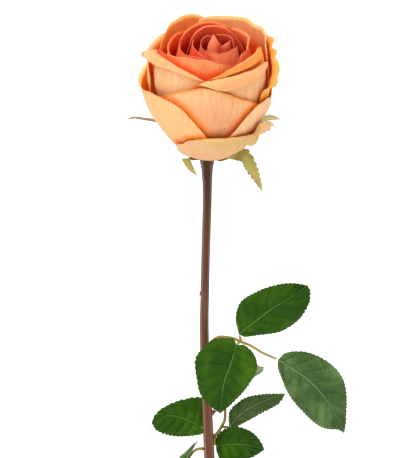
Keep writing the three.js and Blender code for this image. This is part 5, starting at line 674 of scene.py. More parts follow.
# ------------------------------------------------------------------ material helpers
class Mat:
    def __init__(self, name, **sockets):
        self.m = bpy.data.materials.new(name)
        self.m.use_nodes = True
        self.t = self.m.node_tree
        self.b = self.t.nodes["Principled BSDF"]
        for k, v in sockets.items():
            self.b.inputs[k.replace("_", " ")].default_value = v

    def node(self, kind, **props):
        n = self.t.nodes.new(kind)
        for k, v in props.items():
            setattr(n, k, v)
        return n

    def link(self, a, b):
        self.t.links.new(a, b)

    def put(self, sock, val):
        if hasattr(val, "links"):
            self.link(val, sock)
        else:
            sock.default_value = val

    def attr(self, name):
        return self.node("ShaderNodeAttribute", attribute_name=name).outputs["Fac"]

    def math(self, op, a, b=0.0, c=0.0, clamp=False):
        n = self.node("ShaderNodeMath", operation=op, use_clamp=clamp)
        self.put(n.inputs[0], a)
        self.put(n.inputs[1], b)
        self.put(n.inputs[2], c)
        return n.outputs[0]

    def mix(self, fac, a, b, blend="MIX"):
        n = self.node("ShaderNodeMix", data_type="RGBA", blend_type=blend)
        self.put(n.inputs[0], fac)
        self.put(n.inputs[6], a)
        self.put(n.inputs[7], b)
        return n.outputs[2]

    def ramp(self, fac, stops, interp="LINEAR"):
        n = self.node("ShaderNodeValToRGB")
        r = n.color_ramp
        r.interpolation = interp
        while len(r.elements) < len(stops):
            r.elements.new(0.5)
        for e, (pos, col) in zip(r.elements, stops):
            e.position = pos
        for e, (pos, col) in zip(r.elements, stops):
            e.color = lin(col) if len(col) == 3 else col
        self.put(n.inputs[0], fac)
        return n.outputs[0]

    def range(self, val, a, b, lo=0.0, hi=1.0):
        n = self.node("ShaderNodeMapRange", interpolation_type="SMOOTHSTEP")
        self.put(n.inputs[0], val)
        n.inputs[1].default_value, n.inputs[2].default_value = a, b
        n.inputs[3].default_value, n.inputs[4].default_value = lo, hi
        return n.outputs[0]

    def vec(self, x, y=0.0, z=0.0):
        n = self.node("ShaderNodeCombineXYZ")
        self.put(n.inputs[0], x)
        self.put(n.inputs[1], y)
        self.put(n.inputs[2], z)
        return n.outputs[0]

    def coord(self):
        return self.node("ShaderNodeTexCoord").outputs["Object"]

    def noise(self, vec, scale, detail=2.0, rough=0.5, dist=0.0):
        n = self.node("ShaderNodeTexNoise")
        self.put(n.inputs["Vector"], vec)
        n.inputs["Scale"].default_value = scale
        n.inputs["Detail"].default_value = detail
        n.inputs["Roughness"].default_value = rough
        n.inputs["Distortion"].default_value = dist
        return n.outputs["Fac"]

    def bump(self, height, strength, distance, normal=None):
        n = self.node("ShaderNodeBump")
        self.put(n.inputs["Height"], height)
        n.inputs["Strength"].default_value = strength
        n.inputs["Distance"].default_value = distance
        if normal is not None:
            self.link(normal, n.inputs["Normal"])
        return n.outputs["Normal"]

    def color(self, sock):
        self.link(sock, self.b.inputs["Base Color"])

    def normal(self, sock):
        self.link(sock, self.b.inputs["Normal"])


def hsv_noise(m, col, fac, dark, light, amount):
    """col darkened and lightened by a noise value."""
    a = m.mix(m.math("MULTIPLY", m.range(fac, 0.25, 0.5, 1, 0), amount), col, dark, "MULTIPLY")
    return m.mix(m.math("MULTIPLY", m.range(fac, 0.5, 0.75), amount), a, light, "SCREEN")


def petal_material(name, look):
    m = Mat(name, Roughness=0.66, Specular_IOR_Level=0.07,
            Subsurface_Weight=look.get("sss", 0.22), Subsurface_Radius=(1.0, 0.45, 0.12), Subsurface_Scale=0.0018)
    v, u, inner = m.attr("pv"), m.attr("pu"), m.attr("inner")
    across, along, rim = m.attr("mm_across"), m.attr("mm_along"), m.attr("mm_rim")
    z = look["seed"] * 1.7
    # streaks fan out from the base to the rim; broad ones tint, fine ones crease
    broad = m.noise(m.vec(m.math("MULTIPLY", across, 0.16), m.math("MULTIPLY", v, 0.9), z), 1.0, 3.0, 0.55, 0.3)
    fine = m.noise(m.vec(m.math("MULTIPLY", across, 0.62), m.math("MULTIPLY", along, 0.055), z + 5), 1.0, 3.0, 0.6, 0.9)
    cross = m.noise(m.vec(m.math("MULTIPLY", across, 0.5), m.math("MULTIPLY", along, 0.42), z + 9), 1.0, 2.0, 0.5, 0.4)
    vv = m.math("ADD", v, m.math("MULTIPLY", m.math("SUBTRACT", broad, 0.5), 0.16))
    vs = m.math("MULTIPLY", vv, 0.8)
    out = m.ramp(vs, look["outer"])
    inn = m.ramp(vs, look["inner"])
    col = m.mix(inner, out, inn)
    # painted shade: darker crease lines along the valleys of the fine bump, on the back of the petal, fewer on its face
    crease_shade = m.math("MULTIPLY", m.range(fine, 0.50, 0.30), m.math("SUBTRACT", 1.0, m.math("MULTIPLY", inner, 0.6)))
    col = m.mix(m.math("MULTIPLY", crease_shade, look.get("crease_shade", 0.38)), col, lin(look.get("crease_shade_col", (232, 140, 84))), "MIX")
    # painted highlight: lighter colour along the ridges of the same fine bump
    light = m.math("MULTIPLY", m.range(fine, 0.54, 0.74), look.get("light", 0.14))
    col = m.mix(light, col, lin(look.get("light_col", (255, 218, 176))), "MIX")
    mott = m.math("MULTIPLY", m.range(cross, 0.52, 0.72), 0.10)
    col = m.mix(mott, col, lin((206, 118, 70)), "MIX")
    # the thin cut rim is a touch darker
    edge = m.math("MULTIPLY", m.range(rim, look.get("rim_mm", 0.9), 0.0), look.get("rim", 0.25))
    col = m.mix(edge, col, lin(look.get("rim_col", (222, 128, 84))), "MIX")
    # the inside turns deeper orange toward the heart of the flower: partly the dye, partly painted glow and shade
    # standing in for light that passes through and bounces between the petals deep in the cup
    down = m.math("ADD", m.attr("mm_down"), m.math("MULTIPLY", m.math("SUBTRACT", broad, 0.5), 4.0))
    d0, d1 = look.get("deep_mm", (2.0, 13.0))
    col = m.mix(m.math("MULTIPLY", m.range(down, d0, d1), m.math("MULTIPLY", inner, 0.95)), col, lin(look.get("deep_dye_and_glow", (250, 96, 0))), "MIX")
    # painted glow: bright orange painted on the outside of a petal near the rim of a petal that presses against it,
    # standing in for light passing through the petals at the seam
    seam = m.math("ADD", m.attr("mm_seam"), m.math("MULTIPLY", m.math("SUBTRACT", cross, 0.5), 1.6))
    seam_glow_mask = m.math("MULTIPLY", m.range(seam, look.get("seam_glow_mm", 5.2), 1.6), m.math("SUBTRACT", 1.0, inner))
    col = m.mix(m.math("MULTIPLY", seam_glow_mask, look.get("seam", 0.85)), col, lin(look.get("seam_glow_col", (255, 128, 8))), "MIX")
    m.color(col)
    weave = m.noise(m.vec(m.math("MULTIPLY", across, 3.1), m.math("MULTIPLY", along, 2.6), z), 1.0, 1.0, 0.5, 0.0)
    n1 = m.bump(fine, look.get("bump", 0.55), 0.0009)
    n2 = m.bump(cross, 0.25, 0.0006, n1)
    m.normal(m.bump(weave, 0.18, 0.00012, n2))
    return m.m


# ------------------------------------------------------------------ looks of the petals
PEACH_OUT = [(0.0, (205, 160, 96)), (0.12, (214, 172, 120)), (0.35, (232, 176, 124)), (0.6, (246, 190, 138)),
             (0.78, (250, 205, 160)), (0.86, (246, 192, 146)), (1.0, (240, 178, 132))]
# painted glow and shade: the deep red and saturated orange at the low end of the inner ramps, here and in LOOKS, and
# the red of the core, heart, bud and tip petals are partly the dye and partly painted, standing in for light passing
# through and bouncing between the petals deep in the cup
PEACH_IN = [(0.0, (176, 40, 0)), (0.35, (226, 84, 6)), (0.6, (246, 122, 16)), (0.74, (250, 148, 44)),
            (0.82, (246, 186, 124)), (1.0, (246, 190, 138))]
LOOKS = {
    "guard_front": dict(seed=11, wave=0.7, wavelen=5.0, fray=0.9, ribs=0.9, crease_shade=0.34, bump=0.7,
        outer=[(0.0, (187, 140, 89)), (0.12, (204, 157, 112)), (0.4, (218, 166, 121)), (0.7, (225, 175, 131)), (1.0, (222, 175, 130))],
        inner=[(0.0, (184, 54, 0)), (0.5, (229, 98, 17)), (0.72, (231, 143, 75)), (0.8, (215, 168, 110)), (0.88, (202, 168, 107)), (1.0, (210, 170, 117))],
        rim_col=(206, 164, 112)),
    "guard_back": dict(seed=12, wave=0.6, fray=0.3, outer=PEACH_OUT, inner=PEACH_IN),
    "guard_left": dict(seed=13, wave=0.15, fray=0.06, ribs=1.0, crease_shade=0.32, bump=0.7,
        outer=[(0.0, (197, 144, 87)), (0.12, (212, 153, 101)), (0.4, (231, 173, 119)), (0.62, (239, 184, 130)), (0.8, (237, 182, 124)), (1.0, (229, 181, 115))],
        inner=[(0.0, (190, 50, 0)), (0.5, (244, 118, 14)), (0.78, (250, 140, 34)), (0.86, (244, 190, 122)), (1.0, (242, 196, 130))]),
    "guard_right": dict(seam_glow_mm=3.2, seed=14, wave=0.12, fray=0.05, ribs=0.9, crease_shade=0.28, bump=0.6,
        outer=[(0.0, (197, 147, 92)), (0.15, (222, 159, 103)), (0.45, (237, 175, 119)), (0.7, (241, 190, 142)), (1.0, (239, 188, 139))],
        inner=[(0.0, (190, 50, 0)), (0.5, (248, 124, 14)), (0.8, (252, 138, 26)), (1.0, (250, 178, 100))]),
    "outer_front": dict(seed=15, wave=0.12, fray=0.05, ribs=1.0, crease_shade=0.36, bump=0.7, crease_shade_col=(206, 118, 78),
        outer=[(0.0, (181, 83, 36)), (0.2, (212, 120, 71)), (0.42, (229, 155, 110)), (0.62, (231, 160, 114)), (0.78, (237, 177, 126)), (0.84, (235, 162, 89)), (1.0, (237, 144, 53))],
        inner=[(0.0, (190, 50, 0)), (0.5, (246, 120, 14)), (0.8, (250, 146, 34)), (1.0, (250, 168, 70))]),
    "outer_left": dict(sss=0.7, deep_dye_and_glow=(255, 104, 0), seed=16, wave=0.3, fray=0.15,
        outer=[(0.0, (200, 120, 60)), (0.4, (240, 160, 90)), (0.75, (244, 180, 120)), (1.0, (240, 178, 128))],
        inner=[(0.0, (170, 20, 0)), (0.4, (236, 60, 0)), (0.6, (248, 96, 4)), (0.74, (244, 130, 40)), (0.82, (238, 170, 110)), (1.0, (238, 178, 130))]),
    "outer_back_right": dict(sss=0.7, deep_dye_and_glow=(255, 104, 0), seed=17, wave=0.4, fray=0.2,
        outer=[(0.0, (206, 150, 90)), (0.3, (240, 178, 118)), (0.7, (248, 196, 140)), (1.0, (244, 176, 100))],
        inner=[(0.0, (190, 50, 0)), (0.5, (248, 120, 10)), (0.8, (250, 140, 24)), (1.0, (244, 172, 80))]),
    "outer_right": dict(sss=0.7, deep_dye_and_glow=(255, 104, 0), seed=18, wave=2.4, wavelen=4.0, fray=0.8, ribs=1.1,
        outer=[(0.0, (206, 140, 70)), (0.4, (238, 168, 92)), (0.8, (240, 178, 100)), (1.0, (240, 180, 104))],
        inner=[(0.0, (175, 36, 0)), (0.45, (229, 80, 3)), (0.62, (241, 120, 17)), (0.76, (235, 145, 55)), (0.84, (231, 153, 73)), (1.0, (233, 162, 83))]),
    "outer_back_left": dict(sss=0.42, deep_mm=(7.0, 18.0), deep_dye_and_glow=(240, 96, 20), seed=19, wave=0.25, fray=0.1,
        outer=PEACH_OUT,
        inner=[(0.0, (198, 43, 0)), (0.45, (255, 119, 44)), (0.62, (255, 151, 83)), (0.76, (255, 172, 97)), (0.84, (255, 172, 95)), (1.0, (255, 168, 87))]),
    "mid_back": dict(sss=0.42, deep_mm=(5.0, 15.0), deep_dye_and_glow=(244, 84, 0), seed=20, wave=0.25, fray=0.1,
        outer=PEACH_OUT,
        inner=[(0.0, (198, 32, 0)), (0.42, (251, 91, 4)), (0.6, (253, 121, 50)), (0.7, (255, 162, 99)), (0.78, (255, 190, 129)), (0.88, (255, 181, 117)), (1.0, (255, 172, 107))]),
    "mid_front_right": dict(seam_glow_mm=3.0, seed=21, wave=0.15, fray=0.06, crease_shade=0.36, light=0.3, ribs=1.5, bump=0.8,
        outer=[(0.0, (204, 85, 23)), (0.3, (239, 138, 75)), (0.5, (244, 164, 105)), (0.66, (244, 182, 128)), (0.78, (244, 184, 133)), (1.0, (235, 159, 103))],
        inner=[(0.0, (175, 27, 0)), (0.4, (219, 71, 8)), (0.62, (233, 116, 42)), (0.74, (231, 143, 83)), (0.8, (231, 159, 102)), (0.9, (229, 162, 108)), (1.0, (231, 157, 102))]),
    "mid_front_left": dict(seam_glow_mm=3.6, seed=22, wave=0.15, fray=0.06, crease_shade=0.34, light=0.3, ribs=1.5, bump=0.8,
        outer=[(0.0, (216, 96, 32)), (0.3, (244, 147, 85)), (0.5, (244, 170, 114)), (0.66, (244, 184, 131)), (0.78, (244, 181, 128)), (1.0, (237, 159, 108))],
        inner=[(0.0, (175, 18, 0)), (0.4, (225, 75, 8)), (0.62, (235, 116, 37)), (0.74, (229, 130, 77)), (0.8, (229, 136, 90)), (0.88, (231, 150, 103)), (1.0, (237, 166, 113))]),
    "inner_right": dict(sss=0.42, deep_dye_and_glow=(232, 70, 8), seed=23, wave=0.15, fray=0.06, crease_shade=0.25,
        outer=[(0.0, (209, 43, 10)), (0.45, (255, 117, 50)), (0.7, (255, 149, 69)), (0.8, (255, 160, 79)), (1.0, (255, 149, 65))],
        inner=[(0.0, (165, 9, 0)), (0.4, (210, 54, 12)), (0.66, (223, 98, 50)), (0.8, (223, 125, 75)), (0.9, (225, 132, 70)), (1.0, (235, 134, 52))]),
    "inner_front": dict(sss=0.42, deep_mm=(2.5, 11.0), rim=0.5, rim_mm=1.4, seam_glow_col=(236, 78, 14), deep_dye_and_glow=(226, 60, 10), seed=24, wave=0.15, fray=0.06, crease_shade=0.25,
        outer=[(0.0, (180, 10, 0)), (0.4, (206, 48, 14)), (0.58, (212, 74, 36)), (0.68, (218, 98, 58)), (0.75, (226, 130, 82)), (0.8, (234, 154, 100)), (1.0, (238, 160, 92))],
        inner=[(0.0, (176, 0, 0)), (0.4, (231, 54, 14)), (0.7, (255, 129, 65)), (0.82, (255, 162, 89)), (1.0, (255, 172, 99))]),
    "inner_left": dict(sss=0.42, deep_mm=(2.5, 11.0), rim=0.5, rim_mm=1.4, seam_glow_col=(236, 78, 14), deep_dye_and_glow=(206, 40, 8), seed=25, wave=0.2, fray=0.06,
        outer=[(0.0, (198, 21, 0)), (0.5, (246, 102, 50)), (0.75, (255, 139, 83)), (1.0, (255, 147, 91))],
        inner=[(0.0, (187, 0, 0)), (0.4, (229, 43, 12)), (0.64, (244, 95, 50)), (0.8, (246, 119, 67)), (1.0, (238, 112, 63))]),
    "inner_back": dict(sss=0.42, deep_mm=(2.5, 11.0), rim=0.5, rim_mm=1.4, seam_glow_col=(236, 78, 14), deep_dye_and_glow=(200, 36, 10), seed=26, wave=0.15, fray=0.05,
        outer=[(0.0, (198, 21, 0)), (0.5, (244, 96, 50)), (1.0, (253, 139, 83))],
        inner=[(0.0, (187, 0, 0)), (0.4, (227, 47, 16)), (0.62, (240, 93, 48)), (0.76, (244, 116, 65)), (0.86, (242, 116, 67)), (1.0, (235, 112, 61))]),
    "core_left": dict(sss=0.42, deep_mm=(1.8, 9.0), rim=0.55, rim_mm=1.4, seam_glow_col=(200, 30, 14), deep_dye_and_glow=(176, 8, 4), seed=27, wave=0.15, fray=0.05,
        outer=[(0.0, (187, 0, 0)), (0.5, (220, 49, 26)), (0.72, (244, 102, 63)), (1.0, (255, 128, 83))],
        inner=[(0.0, (154, 0, 0)), (0.5, (196, 17, 6)), (0.74, (229, 75, 44)), (1.0, (253, 127, 81))]),
    "core_right": dict(sss=0.42, deep_mm=(1.8, 9.0), rim=0.55, rim_mm=1.4, seam_glow_col=(200, 30, 14), deep_dye_and_glow=(190, 26, 8), seed=28, wave=0.15, fray=0.05,
        outer=[(0.0, (187, 0, 0)), (0.45, (220, 49, 22)), (0.64, (244, 96, 55)), (0.8, (255, 128, 79)), (1.0, (255, 152, 97))],
        inner=[(0.0, (176, 0, 0)), (0.5, (220, 37, 14)), (0.7, (242, 103, 57)), (0.84, (251, 134, 81)), (1.0, (244, 121, 71))]),
    "core_back": dict(sss=0.42, deep_mm=(1.8, 9.0), rim=0.55, rim_mm=1.4, seam_glow_col=(200, 30, 14), deep_dye_and_glow=(180, 30, 12), seed=29, wave=0.15, fray=0.05,
        outer=[(0.0, (187, 0, 0)), (0.5, (224, 64, 34)), (1.0, (249, 126, 77))],
        inner=[(0.0, (165, 0, 0)), (0.5, (209, 39, 18)), (0.7, (224, 84, 50)), (0.84, (235, 108, 61)), (1.0, (229, 103, 57))]),
    "heart_left": dict(sss=0.42, deep_mm=(1.8, 9.0), rim=0.55, rim_mm=1.4, seam_glow_col=(200, 30, 14), deep_dye_and_glow=(168, 6, 6), seed=30, wave=0.12, fray=0.05,
        outer=[(0.0, (165, 0, 0)), (0.5, (205, 15, 6)), (0.74, (233, 70, 44)), (1.0, (253, 120, 83))],
        inner=[(0.0, (140, 0, 0)), (0.5, (190, 12, 8)), (0.78, (222, 72, 51)), (1.0, (246, 119, 86))]),
    "heart_front": dict(sss=0.42, deep_mm=(1.8, 9.0), rim=0.55, rim_mm=1.4, seam_glow_col=(200, 30, 14), deep_dye_and_glow=(172, 16, 10), seed=31, wave=0.2, fray=0.08,
        outer=[(0.0, (187, 11, 4)), (0.4, (229, 73, 46)), (0.58, (249, 115, 77)), (0.74, (255, 134, 91)), (1.0, (249, 130, 83))],
        inner=[(0.0, (140, 0, 0)), (0.5, (194, 25, 16)), (0.8, (231, 107, 72)), (1.0, (240, 125, 86))]),
    "bud_left": dict(sss=0.42, deep_mm=(1.8, 9.0), rim=0.55, rim_mm=1.4, seam_glow_col=(200, 30, 14), deep_dye_and_glow=(166, 8, 6), seed=32, wave=0.12, fray=0.05,
        outer=[(0.0, (176, 0, 0)), (0.5, (209, 53, 36)), (0.8, (235, 102, 71)), (1.0, (249, 130, 93))],
        inner=[(0.0, (140, 0, 0)), (0.5, (184, 10, 8)), (0.78, (212, 64, 45)), (1.0, (240, 117, 86))]),
    "bud_right": dict(sss=0.42, deep_mm=(1.8, 9.0), rim=0.55, rim_mm=1.4, seam_glow_col=(200, 30, 14), deep_dye_and_glow=(166, 8, 6), seed=33, wave=0.12, fray=0.05,
        outer=[(0.0, (176, 0, 0)), (0.5, (213, 53, 34)), (0.8, (242, 107, 71)), (1.0, (253, 132, 93))],
        inner=[(0.0, (140, 0, 0)), (0.5, (188, 8, 6)), (0.78, (216, 68, 47)), (1.0, (244, 121, 87))]),
    "tip_right": dict(deep_mm=(1.8, 9.0), rim=0.55, rim_mm=1.4, seam_glow_col=(200, 30, 14), deep_dye_and_glow=(170, 20, 16), seed=34, wave=0.05, fray=0.03, crease_shade=0.15,
        outer=[(0.0, (165, 0, 0)), (0.45, (227, 75, 50)), (0.66, (255, 147, 103)), (1.0, (255, 171, 123))],
        inner=[(0.0, (140, 0, 0)), (0.6, (201, 41, 29)), (1.0, (248, 133, 97))]),
    "tip_centre": dict(deep_mm=(1.8, 9.0), rim=0.55, rim_mm=1.4, seam_glow_col=(200, 30, 14), deep_dye_and_glow=(170, 20, 16), seed=35, wave=0.05, fray=0.03, crease_shade=0.15,
        outer=[(0.0, (165, 0, 0)), (0.45, (211, 79, 53)), (0.66, (242, 130, 91)), (1.0, (255, 162, 117))],
        inner=[(0.0, (140, 0, 0)), (0.6, (194, 31, 23)), (1.0, (240, 123, 89))]),
}


def build_petal(name, p, look):
    W, M, width = GRIDS[name]
    n = grid_normals(W)
    u, v, s, l, e = [M[..., k] for k in range(5)]
    seed = look["seed"]
    # lengthwise ribs that fan out from the base, strongest on the upper body, and soft dents
    rib = (noise2(s / 1.7, l / 22.0, seed + 11) - 0.5) * 0.30 + (noise2(s / 3.6, l / 30.0, seed + 12) - 0.5) * 0.55
    dent = (noise2(s / 13.0, l / 15.0, seed + 13) - 0.5) * 0.9
    amp = look.get("ribs", 1.0) * sm((v - 0.08) / 0.3) * (0.35 + 0.65 * sm(e / 3.0))
    W = W + n * ((rib + dent * 0.6) * amp * 0.75)[..., None]
    t = 0.36 - 0.18 * sm(1 - e / 1.6)
    # how far each point lies from the rim of a petal that covers it; the material paints its seam glow from this
    # distance
    tree = cover_tree(name)
    if tree is None:
        seam = np.full(u.shape, 60.0)
    else:
        seam = np.array([tree.find(Vector(q))[2] for q in W.reshape(-1, 3)]).reshape(u.shape)
    ob = shell("rose_" + name, W, t, {"pu": u, "pv": v, "mm_across": s, "mm_along": l, "mm_rim": e, "mm_seam": seam,
                                    "mm_down": l[:, 33:34] - l},
               [petal_material("petal_" + name, look)])
    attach(ob, "root")
    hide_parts("petal_" + name)
    return ob


def width_of(p):
    rows = np.array(p["rows"], float)
    rr = cup(rows[:, 1], p["d"]) + rows[:, 2]
    X = np.stack([rr * np.cos(np.radians(rows[:, 0])), rr * np.sin(np.radians(rows[:, 0])), rows[:, 1]], 1)
    return float(np.linalg.norm(np.diff(X, axis=0), axis=1).sum())


def cover_tree(name):
    """Search tree over the rims of the petals that lie outside this one."""
    pts = [q for other, (W, M, w) in GRIDS.items() if PETALS[other]["d"] < PETALS[name]["d"] - 0.2 for q in RIMS[other]]
    if not pts:
        return None
    tree = KDTree(len(pts))
    for k, q in enumerate(pts):
        tree.insert(Vector(q), k)
    tree.balance()
    return tree


GRIDS, RIMS = {}, {}
for name, p in PETALS.items():
    look = LOOKS[name]
    GRIDS[name] = petal_grid(p, look.get("nu", max(60, int(width_of(p) * 1.25))), look.get("nv", 34), look.get("nc", 12), look)
    W = GRIDS[name][0]
    # a folded-back rim covers with its crest, a straight one with its edge
    RIMS[name] = [W[i, j] for i in range(0, len(W), 2) for j in (33, 37, 41, W.shape[1] - 1)]
    RIMS[name] += [W[i, j] for i in (0, len(W) - 1) for j in range(12, 34, 2)]
for name, p in PETALS.items():
    build_petal(name, p, LOOKS[name])


# ------------------------------------------------------------------ leaflets and sepals
def blade_grid(rows, bow, cols, tooth, depth, seed, crisp=1.0, per=4):
    """Leaf blade: columns across, rows along the midrib, with forward-pointing teeth along both edges."""
    rows = np.array(rows, float)
    m = len(rows)
    seg = np.linalg.norm(np.diff(rows[:, :3], axis=0), axis=1)
    length = seg.sum()
    kn = np.concatenate([[0], np.cumsum(seg)])
    teeth = max(4, int(round(length / tooth)))
    ts = np.linspace(0, 1, teeth * per + 1)
    ts = ts**1.0
    U = herm(rows, kn, ts * length)
    c = U[:, :3]
    along = np.empty_like(c)
    along[1:-1] = c[2:] - c[:-2]
    along[0], along[-1] = c[1] - c[0], c[-1] - c[-2]
    along /= np.linalg.norm(along, axis=1, keepdims=True)
    arms = [U[:, 3:6] - c, U[:, 6:9] - c]
    across = arms[1] - arms[0]
    # at the two ends, where both edges meet the midrib, borrow the direction from next door
    for i, q in ((0, 1), (len(ts) - 1, len(ts) - 2)):
        if np.linalg.norm(across[i]) < 0.3:
            across[i] = across[q]
            d = across[q] / np.linalg.norm(across[q])
            arms[0][i], arms[1][i] = -0.2 * d, 0.2 * d
    up = np.cross(along, across)
    up /= np.maximum(np.linalg.norm(up, axis=1, keepdims=True), 1e-9)
    n = len(ts)
    j = np.linspace(-1, 1, cols)
    k = np.arange(n)
    rs = np.random.RandomState(seed)
    phase = (k % per) / per
    prof = np.interp(phase, [0, 0.25, 0.5, 0.75, 1.0], [0.0, 0.45, 0.8, 1.0, 0.0])
    ends = sm(np.minimum(ts, 1 - ts) / 0.08)
    bites = [(0.3 + 1.2 * rs.rand(teeth + 2))[k // per] for _ in range(2)]
    G = np.zeros((n, cols, 3))
    M = np.zeros((n, cols, 5))
    aj = np.abs(j)
    f = sm((aj - 0.72) / 0.28)
    for i in range(n):
        wide = [max(np.linalg.norm(arms[q][i]), 0.15) for q in (0, 1)]
        cut = [depth * bites[q][i] * (prof[i] - 0.55) * ends[i] * min(wide[q] / 3.0, 1) for q in (0, 1)]
        # the tooth also leans toward the tip
        for col in range(cols):
            q = 0 if j[col] < 0 else 1
            d = arms[q][i] / max(np.linalg.norm(arms[q][i]), 1e-6)
            p = c[i] + arms[q][i] * aj[col] + d * (cut[q] * f[col]) + along[i] * (0.35 * cut[q] * f[col])
            G[i, col] = p + up[i] * (bow * wide[q] * aj[col] ** 2)
            M[i, col, 2] = (wide[q] * aj[col] + cut[q] * f[col]) * (-1 if q == 0 else 1)
            M[i, col, 4] = (1 - aj[col]) * wide[q]
        M[i, :, 0] = ts[i]
        M[i, :, 1] = j
        M[i, :, 3] = ts[i] * length
    return G, M, length


def vein_height(M, length, count, sweep):
    """Raised quilting between side veins: 0 on a vein and on the midrib, 1 in between."""
    t, j, w, l, e = [M[..., k] for k in range(5)]
    ph = t * count - np.abs(j) * sweep
    fr = np.abs(ph - np.round(ph)) * 2
    side = sm(fr / 0.55)
    mid = sm((np.abs(w) - 0.25) / 1.3)
    return side * (0.35 + 0.65 * sm(np.abs(w) / 3.0)) * mid, mid


def leaf_material(name, look):
    m = Mat(name, Roughness=look.get("rough", 0.42), Specular_IOR_Level=look.get("spec", 0.08))
    t, j, inner = m.attr("lt"), m.attr("lj"), m.attr("inner")
    w, l = m.attr("mm_across"), m.attr("mm_along")
    z = look["seed"] * 2.3
    aw = m.math("ABSOLUTE", w)
    aj = m.math("ABSOLUTE", j)
    ph = m.math("SUBTRACT", m.math("MULTIPLY", t, float(look["veins"])), m.math("MULTIPLY", aj, look["sweep"]))
    wob = m.noise(m.vec(m.math("MULTIPLY", w, 0.12), m.math("MULTIPLY", l, 0.12), z), 1.0, 2.0, 0.5, 0.0)
    ph = m.math("ADD", ph, m.math("MULTIPLY", m.math("SUBTRACT", wob, 0.5), 0.25))
    dist = m.math("ABSOLUTE", m.math("SUBTRACT", ph, m.math("ROUND", ph)))
    dmm = m.math("MULTIPLY", dist, look["len"] / look["veins"])
    vein = m.math("MULTIPLY", m.range(dmm, 0.55, 0.05), m.range(aj, 0.97, 0.45))
    midr = m.range(aw, look.get("midw", 0.55), 0.15)
    patch = m.noise(m.vec(m.math("MULTIPLY", w, 0.055), m.math("MULTIPLY", l, 0.05), z + 3), 1.0, 3.0, 0.6, 0.2)
    cell = m.noise(m.vec(w, l, z + 6), 1.9, 2.0, 0.6, 0.3)
    top = m.ramp(patch, [(0.3, look["dark"]), (0.5, look["main"]), (0.72, look["lite"])])
    top = m.mix(m.math("MULTIPLY", m.range(cell, 0.48, 0.70), 0.55), top, lin(look["lite"]), "MIX")
    # painted shade: darker green along the side-vein grooves and on the flanks of the midrib groove
    top = m.mix(m.math("MULTIPLY", vein, look.get("vein", 0.35)), top, lin(look.get("vein_groove_shade_col", (28, 62, 22))), "MIX")
    midrib_flank_shade = m.math("MULTIPLY", m.range(aw, 1.7, 0.5), 0.45)
    top = m.mix(midrib_flank_shade, top, lin(look.get("vein_groove_shade_col", (28, 62, 22))), "MIX")
    midf = m.math("MULTIPLY", midr, m.range(t, 0.95, 0.1, 0.30, look.get("mid", 0.85)))
    top = m.mix(midf, top, lin(look.get("mid_col", (96, 132, 48))), "MIX")
    under = m.ramp(patch, [(0.3, (98, 120, 84)), (0.7, (132, 150, 116))])
    under = m.mix(m.math("MULTIPLY", m.math("MAXIMUM", vein, midr), 0.5), under, lin((150, 166, 120)), "MIX")
    rim = m.range(aj, 0.93, 1.0)
    top = m.mix(m.math("MULTIPLY", rim, 0.35), top, lin((40, 66, 26)), "MIX")
    col = m.mix(m.math("SUBTRACT", 1.0, inner) if look.get("flip") else inner, top, under)
    m.color(col)
    net = m.node("ShaderNodeTexVoronoi", feature="DISTANCE_TO_EDGE")
    m.put(net.inputs["Vector"], m.vec(w, l, z))
    net.inputs["Scale"].default_value = 0.55
    n1 = m.bump(m.range(net.outputs["Distance"], 0.0, 0.25), 0.35, 0.00035)
    n2 = m.bump(m.math("MAXIMUM", vein, midr), -0.5, 0.0006, n1)
    m.normal(m.bump(cell, 0.3, 0.0003, n2))
    return m.m


def build_leaf(name, rows, bow, look):
    G, M, length = blade_grid(rows, bow, 33, look.get("tooth", 2.0), look.get("depth", 0.75), look["seed"])
    look = dict(look, len=length)
    n = grid_normals(G)
    q, mid = vein_height(M, length, look["veins"], look["sweep"])
    e = M[..., 4]
    t, j = M[..., 0], M[..., 1]
    up = -1.0 if look.get("flip") else 1.0
    wav = (noise2(M[..., 3] / 11.0, np.sign(j) * 3 + 5.0 + 0 * t, look["seed"] + 4) - 0.5) * 2 * np.abs(j) ** 2
    W = G + n * (up * look.get("quilt", 0.8) * (q - 0.5) * sm(e / 2.5) * sm(np.minimum(t, 1 - t) / 0.06)
                 + look.get("wavy", 0.7) * wav * sm(np.minimum(t, 1 - t) / 0.2))[..., None]
    W = W - n * (up * 0.35 * (1 - mid) * sm(np.minimum(t, 1 - t) / 0.05))[..., None]
    th = 0.34 + 0.3 * (1 - mid) - 0.14 * sm(1 - e / 1.2)
    ob = shell("rose_" + name, W, th, {"lt": t, "lj": j, "mm_across": M[..., 2], "mm_along": M[..., 3]},
               [leaf_material(name + "_mat", look)], 60)
    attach(ob, "root")
    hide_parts(name)
    return ob


